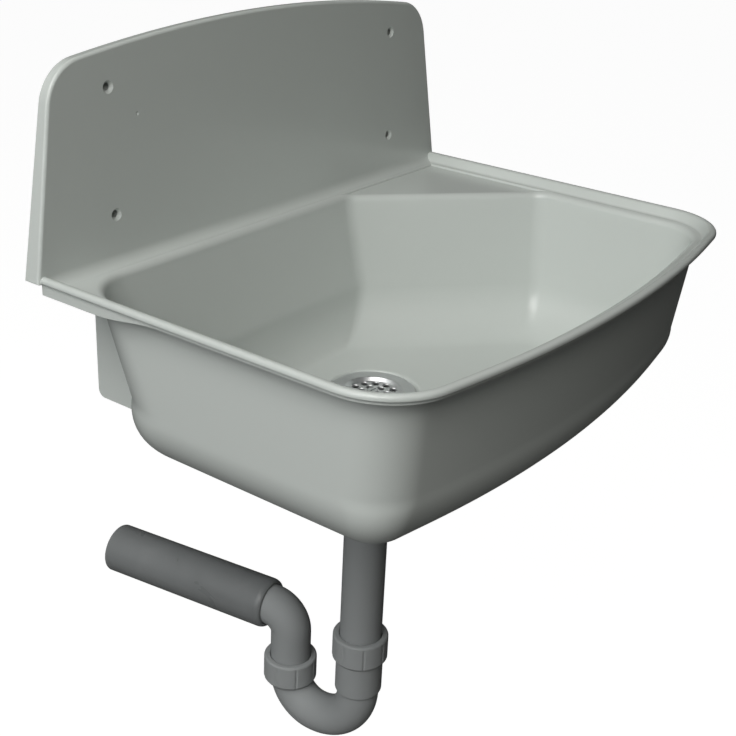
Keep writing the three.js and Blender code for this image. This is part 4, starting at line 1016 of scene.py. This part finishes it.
class SINK_OT_strainer(bpy.types.Operator):
    """Strainer grid in the drain recess, with its slotted screw and the nut it turns into"""

    bl_idname = "sink.strainer"
    bl_label = "Strainer"

    def execute(self, context):
        dish = GRID + 1
        profile = rounded_path(
            [
                (SCREW_BORE_RADIUS, GRID_UNDER, 0),
                (dish, GRID_UNDER, 1.2),
                (dish + 1.5, FLANGE_UNDER, 0.8),
                (STRAINER_EDGE, FLANGE_UNDER, 0.3),
                (STRAINER_EDGE, FLANGE_TOP, 1.1),
                (dish + 1.4, FLANGE_TOP, 1.4),
                (dish - 1, GRID_TOP, 1.2),
                (SCREW_BORE_RADIUS, GRID_TOP, 0),
            ],
            6,
        )
        plate = turned("strainer", profile, 128)
        drills = []
        for radius, count in STRAINER_RINGS:
            for i in range(count):
                angle = 2 * math.pi * i / count
                hole = [
                    (AXIS, GRID_UNDER - 1),
                    (3.2, GRID_UNDER - 1),
                    (3.2, GRID_TOP - 0.5),
                    (3.7, GRID_TOP),
                    (3.7, GRID_TOP + 1),
                    (AXIS, GRID_TOP + 1),
                ]
                drill = turned_solid("drill", hole, 32)
                drills.append(moved(drill, x=radius * math.cos(angle), y=radius * math.sin(angle)))
        place_piece("strainer_grid", "sink", "steel", at_drain(cut(plate, drills, "strainer")))

        seat = GRID_TOP + GAP
        end = GRID_TOP - SCREW_LENGTH
        profile = rounded_path(
            [
                (AXIS, end, 0),
                (SCREW_SHANK - 0.6, end, 0),
                (SCREW_SHANK, end + 1, 0),
                (SCREW_SHANK, seat, 0),
                (SCREW_HEAD, seat, 0.3),
                (SCREW_HEAD, seat + 2.6, 1.4),
                (AXIS, seat + 2.6, 0),
            ]
        )
        body = turned_solid("screw", profile, 64)
        slot = mesh_from(
            "slot",
            [(x, y, z) for x in (-7, 7) for y in (-0.7, 0.7) for z in (seat + 1.4, seat + 4)],
            [(0, 1, 3, 2), (4, 6, 7, 5), (0, 4, 5, 1), (2, 3, 7, 6), (0, 2, 6, 4), (1, 5, 7, 3)],
        )
        place_piece("strainer_screw", "strainer_screw", "steel", at_drain(cut(body, [slot], "screw")))

        low = INSERT_TOP - INSERT_HEIGHT
        faces = [
            hexagon(INSERT_RADIUS - 0.3, low),
            hexagon(INSERT_RADIUS, low + 0.4),
            hexagon(INSERT_RADIUS, INSERT_TOP - 0.4),
            hexagon(INSERT_RADIUS - 0.3, INSERT_TOP),
        ]
        bore = bore_cutter(SCREW_BORE_RADIUS, low - 1, INSERT_TOP + 1)
        insert = cut(loft("insert", faces, False), [bore], "insert")
        place_piece("screw_insert", "sink", "brass", at_drain(insert))
        return {"FINISHED"}


class SINK_OT_waste(bpy.types.Operator):
    """Waste body under the drain hole, and the gaskets above and below the floor"""

    bl_idname = "sink.waste"
    bl_label = "Waste"

    def execute(self, context):
        _, pipes, _ = settings()
        sides = pipes.round_steps
        pipe = 500 * pipes.pipe
        socket = pipe + SOCKET_CLEARANCE
        flange_under = WASTE_TOP - WASTE_FLANGE
        outside = [
            (WASTE_FLANGE_RADIUS, WASTE_TOP, 0.6),
            (WASTE_FLANGE_RADIUS, flange_under, 0.6),
            (CUP_RADIUS + 0.4, flange_under, 1.5),
            (CUP_RADIUS, CUP_BOTTOM, 3),
            (THREAD_RADIUS - 1, THREAD_TOP, 1.5),
        ]
        outside = [(CUP_RADIUS - WASTE_WALL - 0.5, WASTE_TOP, 0), *outside]
        profile = rounded_path([*outside, (THREAD_RADIUS - 1, THREAD_TOP - 0.4, 0)])
        for turn in range(8):
            top = THREAD_TOP - 0.6 - turn * THREAD_PITCH
            for down, depth in ((0, 0.9), (0.7, 0), (1.3, 0), (2, 0.9)):
                profile.append((THREAD_RADIUS - depth, top - down))
        profile += [
            (THREAD_RADIUS - 1, WASTE_MOUTH),
            (socket + SEAL_TAPER, WASTE_MOUTH),
            (socket, WASTE_MOUTH + SEAL_HEIGHT),
            (socket, WASTE_MOUTH + 18),
            (socket - PIPE_WALL, WASTE_MOUTH + 19),
            (socket - PIPE_WALL, THREAD_TOP + 1),
            (CUP_RADIUS - WASTE_WALL, CUP_BOTTOM + 1),
            (CUP_RADIUS - WASTE_WALL, WASTE_TOP - WASTE_FLANGE),
        ]
        shell = turned("waste shell", profile, sides)
        waste = joined("waste", [shell, self.hub(), *self.spokes()])
        place_piece("waste_body", "sink", "waste_plastic", at_drain(waste))
        for node, outer, low in (
            ("flange_gasket", STRAINER_EDGE - GASKET, SEAT_TOP + GAP),
            ("body_gasket", WASTE_FLANGE_RADIUS - GASKET, WASTE_TOP + GAP),
        ):
            high = low + GASKET
            profile = rounded_path(
                [(DRAIN_HOLE, low, 0), (outer, low, 0.4), (outer, high, 0.4), (DRAIN_HOLE, high, 0)]
            )
            place_piece(node, "sink", "rubber", at_drain(turned("gasket", profile, sides)))
        return {"FINISHED"}

    def hub(self):
        """The middle of the waste, with a six-sided pocket for the screw's insert."""
        low = INSERT_TOP - INSERT_HEIGHT - 3
        top = INSERT_TOP + GAP + 1
        profile = rounded_path([(AXIS, low, 0), (8.5, low, 1), (8.5, top, 0.6), (AXIS, top, 0)])
        hub = turned_solid("hub", profile, 64)
        pocket_radius = INSERT_RADIUS + INSERT_CLEARANCE
        pocket_low = INSERT_TOP - INSERT_HEIGHT - GAP
        pocket = loft("pocket", [hexagon(pocket_radius, z) for z in (pocket_low, top + 1)], False)
        hub = cut(hub, [pocket], "hub")
        return cut(hub, [bore_cutter(SCREW_BORE_RADIUS, low - 1, top + 1)], "hub")

    def spokes(self):
        """Three bars that hold the hub in the cup."""
        reach = CUP_RADIUS - WASTE_WALL / 2
        low, high = INSERT_TOP - 9, INSERT_TOP - 1
        corners = [(-1.5, low, 0), (1.5, low, 0.8), (1.5, high, 0.8), (-1.5, high, 0.8), (-1.5, low, 0)]
        section = rounded_path(corners)[:-1]
        spokes = []
        for i in range(3):
            spoke = loft("spoke", [[(x, y, z) for y, z in section] for x in (5, reach)], False)
            spoke.transform(Matrix.Rotation(2 * math.pi * i / 3, 4, "Z"))
            spokes.append(cut(spoke, [bore_cutter(6.5, low - 2, high + 2, 48)], "spoke"))
        return spokes


class SINK_OT_pipework(bpy.types.Operator):
    """Tailpipe, trap bend, elbow and the level outlet pipe with its lip seal"""

    bl_idname = "sink.pipework"
    bl_label = "Pipework"

    def execute(self, context):
        _, pipes, _ = settings()
        sides = pipes.round_steps
        pipe = 500 * pipes.pipe
        outlet = 500 * pipes.outlet
        inner = pipe - PIPE_WALL
        self.tailpipe(pipe, inner, sides)
        self.trap_bend(pipe, inner, sides)
        self.elbow(pipe, inner, sides)
        self.outlet(pipe, outlet, sides)
        return {"FINISHED"}

    def tailpipe(self, pipe, inner, sides):
        profile = rounded_path(
            [
                (inner, TAILPIPE_BOTTOM, 0),
                (pipe - 0.4, TAILPIPE_BOTTOM, 0.3),
                (pipe, TAILPIPE_BOTTOM + 1.5, 0.5),
                (pipe, TAILPIPE_TOP, 0.7),
                (inner, TAILPIPE_TOP, 0),
            ]
        )
        place_piece("tailpipe", "sink", "pipe_plastic", at_drain(turned("tailpipe", profile, sides)))

    def trap_bend(self, pipe, inner, sides):
        socket = pipe + SOCKET_CLEARANCE
        outer = socket + SOCKET_WALL
        stations = socket_mouth(DOWN, 0, INLET_MOUTH, socket, THREAD_RADIUS)
        low = INLET_MOUTH - THREAD_LENGTH
        straight_end = BEND_START + TRAP_STEP
        stations += [
            Station(0, low - 0.6, DOWN, outer + 0.3, socket),
            Station(0, low - 1.2, DOWN, outer, socket),
            Station(0, straight_end + 1.4, DOWN, outer, socket),
            Station(0, straight_end + 0.5, DOWN, outer - 0.25, socket),
            Station(0, straight_end, DOWN, outer - 0.9, socket),
            Station(0, straight_end - 0.5, DOWN, pipe + 0.9, inner + 1.2),
            Station(0, straight_end - 1.4, DOWN, pipe + 0.3, inner + 0.4),
        ]
        steps = 28
        for step in range(steps + 1):
            angle = math.pi / 2 * step / steps
            along = Vector((0, math.sin(angle), -math.cos(angle)))
            y = INLET_BEND * (1 - math.cos(angle))
            stations.append(Station(y, BEND_START - INLET_BEND * math.sin(angle), along, pipe, inner))
        for step in range(steps):
            angle = math.pi / 2 * (step + 1) / steps
            along = Vector((0, math.cos(angle), math.sin(angle)))
            y = INLET_BEND + OUTLET_BEND * math.sin(angle)
            stations.append(Station(y, BEND_LOW + OUTLET_BEND * (1 - math.cos(angle)), along, pipe, inner))
        bend = pipe_along("trap bend", stations, sides)
        collar_low = OUTLET_MOUTH - THREAD_LENGTH
        profile = [(THREAD_RADIUS - 1.4, OUTLET_MOUTH), (THREAD_RADIUS - 1, OUTLET_MOUTH - 0.6)]
        for turn in range(4):
            top = OUTLET_MOUTH - 1.2 - turn * THREAD_PITCH
            for down, depth in ((0, 0.9), (0.8, 0), (1.4, 0), (2.2, 0.9)):
                profile.append((THREAD_RADIUS - depth, top - down))
        profile += [
            (THREAD_RADIUS - 2.6, collar_low + 0.6),
            (THREAD_RADIUS - 3.2, collar_low),
            (inner + 0.9, BEND_END - 1),
            (inner + 0.9, BEND_END - 0.2),
            (socket, BEND_END),
            (socket, OUTLET_MOUTH - SEAL_HEIGHT),
            (socket + SEAL_TAPER, OUTLET_MOUTH),
        ]
        collar = moved(turned("trap collar", profile, sides), y=TRAP_SPACING)
        place_piece("u_bend", "trap", "pipe_plastic", at_drain(joined("u bend", [bend, collar])))

    def elbow(self, pipe, inner, sides):
        low = max(OUTLET_MOUTH - SEAL_HEIGHT - 7, BEND_END + 1)
        stations = [Station(0, low, UP, pipe - 0.8, inner), Station(0, low + 1, UP, pipe, inner)]
        steps = 28
        for step in range(steps + 1):
            angle = math.pi / 2 * step / steps
            along = Vector((0, math.sin(angle), math.cos(angle)))
            y = ELBOW_RADIUS * (1 - math.cos(angle))
            z = OUTLET_AXIS - ELBOW_RADIUS + ELBOW_RADIUS * math.sin(angle)
            stations.append(Station(y, z, along, pipe, inner))
        end = ELBOW_RADIUS + 18
        stations.append(Station(end - 1, OUTLET_AXIS, LEVEL, pipe, inner))
        stations.append(Station(end, OUTLET_AXIS, LEVEL, pipe - 0.8, inner))
        mesh = pipe_along("elbow", stations, sides)
        mesh.transform(OUTLET_PLACE)
        place_piece("outlet_elbow", "outlet", "pipe_plastic", mesh)

    def outlet(self, pipe, outlet, sides):
        inner = outlet - PIPE_WALL
        mouth = pipe + SOCKET_CLEARANCE + GAP
        stations = []
        for step in range(11):
            angle = math.pi / 2 * step / 10
            y = SHOULDER_START + SHOULDER_ROUND * (1 - math.cos(angle))
            radius = outlet - SHOULDER_ROUND * 0.45 * (1 - math.sin(angle))
            stations.append(Station(y, OUTLET_AXIS, LEVEL, radius, max(mouth, radius - PIPE_WALL - 1.5)))
        start = SHOULDER_START + SHOULDER_ROUND
        stations += [
            Station(start + 1.5, OUTLET_AXIS, LEVEL, outlet, inner),
            Station(OUTLET_END - 1.0, OUTLET_AXIS, LEVEL, outlet, inner),
            Station(OUTLET_END - 0.3, OUTLET_AXIS, LEVEL, outlet - 0.25, inner),
            Station(OUTLET_END, OUTLET_AXIS, LEVEL, outlet - 0.7, inner + 0.3),
        ]
        mesh = pipe_along("outlet", stations, sides)
        mesh.transform(OUTLET_PLACE)
        _, _, finishes = settings()
        drawn = ((1100, 6, 1100), (0, 0, -OUTLET_YAW))
        level = pipe_plastic("pipe_plastic_level", tuple(finishes.pipe), finishes.pipe_gloss, drawn)
        place_piece("outlet_pipe", "outlet", "pipe_plastic", mesh, level)
        low, high = start + 2, start + 2 + 9
        inside = pipe + GAP / 2
        outside = inner - GAP
        stations = [
            Station(low, OUTLET_AXIS, LEVEL, outside, inside + 1),
            Station(low + 2, OUTLET_AXIS, LEVEL, outside, inside),
            Station(high - 2, OUTLET_AXIS, LEVEL, outside, inside + 0.6),
            Station(high, OUTLET_AXIS, LEVEL, outside - 0.8, inside + 1.2),
        ]
        seal = pipe_along("lip seal", stations, sides)
        seal.transform(OUTLET_PLACE)
        place_piece("outlet_pipe_seal", "outlet", "rubber", seal)


class SINK_OT_unions(bpy.types.Operator):
    """The three union joints: grooved nut, slip ring and wedge seal"""

    bl_idname = "sink.unions"
    bl_label = "Union joints"

    def execute(self, context):
        place = Matrix.Translation
        right, drain = 0.001 * DRAIN_X, 0.001 * DRAIN_Y
        upside_down = Matrix.Rotation(math.pi, 4, "X")
        waste = place((right, drain, 0.001 * (WASTE_MOUTH - MOUTH_DEPTH))) @ upside_down
        inlet = place((right, drain, 0.001 * INLET_NUT_TOP))
        outlet = OUTLET_PLACE @ place((0, 0, 0.001 * OUTLET_NUT_TOP))
        self.union("waste", waste, "waste_nut", "sink")
        self.union("inlet", inlet, "inlet_nut", "trap_height")
        self.union("outlet", outlet, "outlet_nut", "trap")
        return {"FINISHED"}

    def union(self, name, place, nut_body, ring_body):
        for node, slot, body, mesh in (
            (name + "_union_nut", "nut_plastic", nut_body, self.nut()),
            (name + "_slip_ring", "waste_plastic", ring_body, self.slip_ring()),
            (name + "_seal", "rubber", ring_body, self.seal()),
        ):
            mesh.transform(place)
            place_piece(node, body, slot, mesh)

    def nut(self):
        """A flat-topped nut whose side carries shallow upright grooves."""
        _, pipes, _ = settings()
        outer = 500 * pipes.nut
        high = 1000 * pipes.nut_height
        bore = THREAD_RADIUS + THREAD_CLEARANCE
        lip = 500 * pipes.pipe + 0.6
        grooves = pipes.nut_grooves
        profile = rounded_path(
            [
                (lip, 0, 0),
                (outer - 0.1, 0, 2.4),
                (outer, -6, 0),
                (outer, -high + 2.4, 1.2),
                (outer - 1.7, -high, 0),
            ],
            7,
        )
        profile = [(lip + 0.5, -0.1), *profile[1:]]
        middle = [(outer, z) for z in (-8, -10, -14, -18, -21)]
        at = next(i for i, (radius, z) in enumerate(profile) if z <= -6)
        profile[at + 1 : at + 1] = middle
        profile += [(bore, -high), (bore, -NUT_LIP), (lip, -NUT_LIP), (lip, -0.6)]

        def radius_at(radius, z, angle):
            if not grooves or radius < outer - 0.5 or z > -2:
                return radius
            around = (angle * grooves / (2 * math.pi)) % 1
            away = min(around, 1 - around) * 2 * math.pi / grooves * outer
            fade = min(1, (-z - 2) / 3, (high + z) / 2)
            return radius - 0.75 * max(0, fade) * math.exp(-((away / 1.15) ** 4))

        return turned("union nut", profile, grooves * 40 if grooves else 128, radius_at)

    def slip_ring(self):
        _, pipes, _ = settings()
        inner = 500 * pipes.pipe + SOCKET_CLEARANCE
        outer = THREAD_RADIUS - GAP
        low = SLIP_TOP - SLIP_RING
        corners = [(inner, low, 0), (outer, low, 0.3), (outer, SLIP_TOP, 0.3), (inner, SLIP_TOP, 0)]
        return turned("slip ring", rounded_path(corners), pipes.round_steps)

    def seal(self):
        _, pipes, _ = settings()
        pipe = 500 * pipes.pipe
        outer = pipe + SOCKET_CLEARANCE + SEAL_TAPER - 1.5 * GAP
        inner = pipe + SOCKET_CLEARANCE / 3
        mouth = -MOUTH_DEPTH
        low = mouth - SEAL_HEIGHT + 2 * GAP
        profile = [
            (inner, low),
            (inner + GAP, low),
            (outer - GAP, mouth),
            (outer + 0.6, mouth + GAP),
            (outer + 0.6, SEAL_TOP - 0.2),
            (outer + 0.4, SEAL_TOP),
            (inner, SEAL_TOP),
        ]
        return turned("wedge seal", profile, pipes.round_steps)


CAMERA_PLACE = (-0.80077, -0.70465, 0.33399)
CAMERA_TURNS = (54.257, 24.601, 2.8)  # yaw, pitch and roll in degrees
CAMERA_LENS = 62.04
LAMP_SIDE, LAMP_AIM = 1.2, (0, -0.18, -0.05)
FLOOR_REACH, FLOOR_LEVEL = 60, -0.95


class SINK_OT_stage(bpy.types.Operator):
    """Camera, lamps, pale floor and white surroundings"""

    bl_idname = "sink.stage"
    bl_label = "Stage"

    def execute(self, context):
        scene = context.scene
        scene.view_settings.view_transform = "Standard"
        self.camera(scene)
        self.surroundings(scene)
        self.floor()
        cool, warm = (0.97, 0.985, 1), (1, 0.99, 0.95)
        self.lamp("left", (-2.2, -0.1, 0.5), 9.5, cool)
        self.lamp("left high", (-1.7, -0.1, 1.5), 11.5, cool)
        self.lamp("left front high", (-1.5, -0.9, 1.3), 20, warm)
        self.lamp("overhead left", (-0.9, -0.1, 1.9), 8.5, warm)
        return {"FINISHED"}

    def camera(self, scene):
        yaw, pitch, roll = (math.radians(turn) for turn in CAMERA_TURNS)
        ahead = Vector((math.sin(yaw) * math.cos(pitch), math.cos(yaw) * math.cos(pitch), -math.sin(pitch)))
        level = Vector((math.cos(yaw), -math.sin(yaw), 0))
        upright = level.cross(ahead)
        right = level * math.cos(roll) + upright * math.sin(roll)
        up = upright * math.cos(roll) - level * math.sin(roll)
        data = bpy.data.cameras.new("camera")
        data.lens = CAMERA_LENS
        data.sensor_width = 36
        eye = bpy.data.objects.new("camera", data)
        basis = Matrix((right, up, -ahead)).transposed().to_4x4()
        eye.matrix_world = Matrix.Translation(CAMERA_PLACE) @ basis
        scene.collection.objects.link(eye)
        scene.camera = eye

    def surroundings(self, scene):
        """White to the camera, and nearly dark to everything else."""
        world = bpy.data.worlds.new("surroundings")
        scene.world = world
        world.use_nodes = True
        tree = world.node_tree
        tree.nodes.clear()
        path = tree.nodes.new("ShaderNodeLightPath")
        room = tree.nodes.new("ShaderNodeBackground")
        room.inputs["Color"].default_value = (0.95, 0.98, 1, 1)
        room.inputs["Strength"].default_value = 0.02
        white = tree.nodes.new("ShaderNodeBackground")
        white.inputs["Color"].default_value = (1, 1, 1, 1)
        white.inputs["Strength"].default_value = 1
        choice = tree.nodes.new("ShaderNodeMixShader")
        out = tree.nodes.new("ShaderNodeOutputWorld")
        tree.links.new(path.outputs["Is Camera Ray"], choice.inputs[0])
        tree.links.new(room.outputs[0], choice.inputs[1])
        tree.links.new(white.outputs[0], choice.inputs[2])
        tree.links.new(choice.outputs[0], out.inputs["Surface"])

    def floor(self):
        """A matt floor that glows to the camera alone, so that it looks pale and keeps the shadow."""
        mesh = bpy.data.meshes.new("floor")
        corners = ((-1, -1), (1, -1), (1, 1), (-1, 1))
        points = [(x * FLOOR_REACH, y * FLOOR_REACH, FLOOR_LEVEL) for x, y in corners]
        mesh.from_pydata(points, [], [(0, 1, 2, 3)])
        floor = bpy.data.objects.new("floor", mesh)
        bpy.context.collection.objects.link(floor)
        material = bpy.data.materials.new("pale floor")
        material.use_nodes = True
        tree = material.node_tree
        tree.nodes.clear()
        matt = tree.nodes.new("ShaderNodeBsdfDiffuse")
        matt.inputs["Color"].default_value = (0.22, 0.22, 0.215, 1)
        glow = tree.nodes.new("ShaderNodeEmission")
        glow.inputs["Strength"].default_value = 0.965
        path = tree.nodes.new("ShaderNodeLightPath")
        seen = tree.nodes.new("ShaderNodeMixShader")
        both = tree.nodes.new("ShaderNodeAddShader")
        out = tree.nodes.new("ShaderNodeOutputMaterial")
        tree.links.new(path.outputs["Is Camera Ray"], seen.inputs[0])
        tree.links.new(glow.outputs[0], seen.inputs[2])
        tree.links.new(matt.outputs[0], both.inputs[0])
        tree.links.new(seen.outputs[0], both.inputs[1])
        tree.links.new(both.outputs[0], out.inputs["Surface"])
        mesh.materials.append(material)

    def lamp(self, name, place, watts, tint):
        """A soft square lamp that faces the bowl."""
        data = bpy.data.lights.new(name, "AREA")
        data.shape = "SQUARE"
        data.size, data.energy, data.color = LAMP_SIDE, watts, tint
        light = bpy.data.objects.new(name, data)
        ahead = (Vector(LAMP_AIM) - Vector(place)).normalized()
        light.rotation_euler = ahead.to_track_quat("-Z", "Y").to_euler()
        light.location = place
        bpy.context.scene.collection.objects.link(light)


class SINK_PT_panel(bpy.types.Panel):
    """Lists the sink's settings and its operators"""

    bl_idname = "SINK_PT_panel"
    bl_label = "Service sink"
    bl_space_type = "VIEW_3D"
    bl_region_type = "UI"
    bl_category = "Sink"

    def draw(self, context):
        scene = context.scene
        for group in (scene.sink_sizes, scene.sink_pipes, scene.sink_finishes):
            box = self.layout.box()
            for name in group.__annotations__:
                box.prop(group, name)
        for operator in OPERATORS:
            self.layout.operator(operator.bl_idname)


GROUPS = (SinkSizes, PipeSizes, SinkFinishes)
OPERATORS = (
    SINK_OT_moulding,
    SINK_OT_strainer,
    SINK_OT_waste,
    SINK_OT_pipework,
    SINK_OT_unions,
    SINK_OT_stage,
)


def register():
    for entry in (*GROUPS, *OPERATORS, SINK_PT_panel):
        bpy.utils.register_class(entry)
    bpy.types.Scene.sink_sizes = PointerProperty(type=SinkSizes)
    bpy.types.Scene.sink_pipes = PointerProperty(type=PipeSizes)
    bpy.types.Scene.sink_finishes = PointerProperty(type=SinkFinishes)


def unregister():
    del bpy.types.Scene.sink_sizes
    del bpy.types.Scene.sink_pipes
    del bpy.types.Scene.sink_finishes
    for entry in reversed((*GROUPS, *OPERATORS, SINK_PT_panel)):
        bpy.utils.unregister_class(entry)


def main():
    register()
    bpy.ops.sink.moulding()
    bpy.ops.sink.strainer()
    bpy.ops.sink.waste()
    bpy.ops.sink.pipework()
    bpy.ops.sink.unions()
    bpy.ops.sink.stage()


if __name__ == "__main__":
    main()
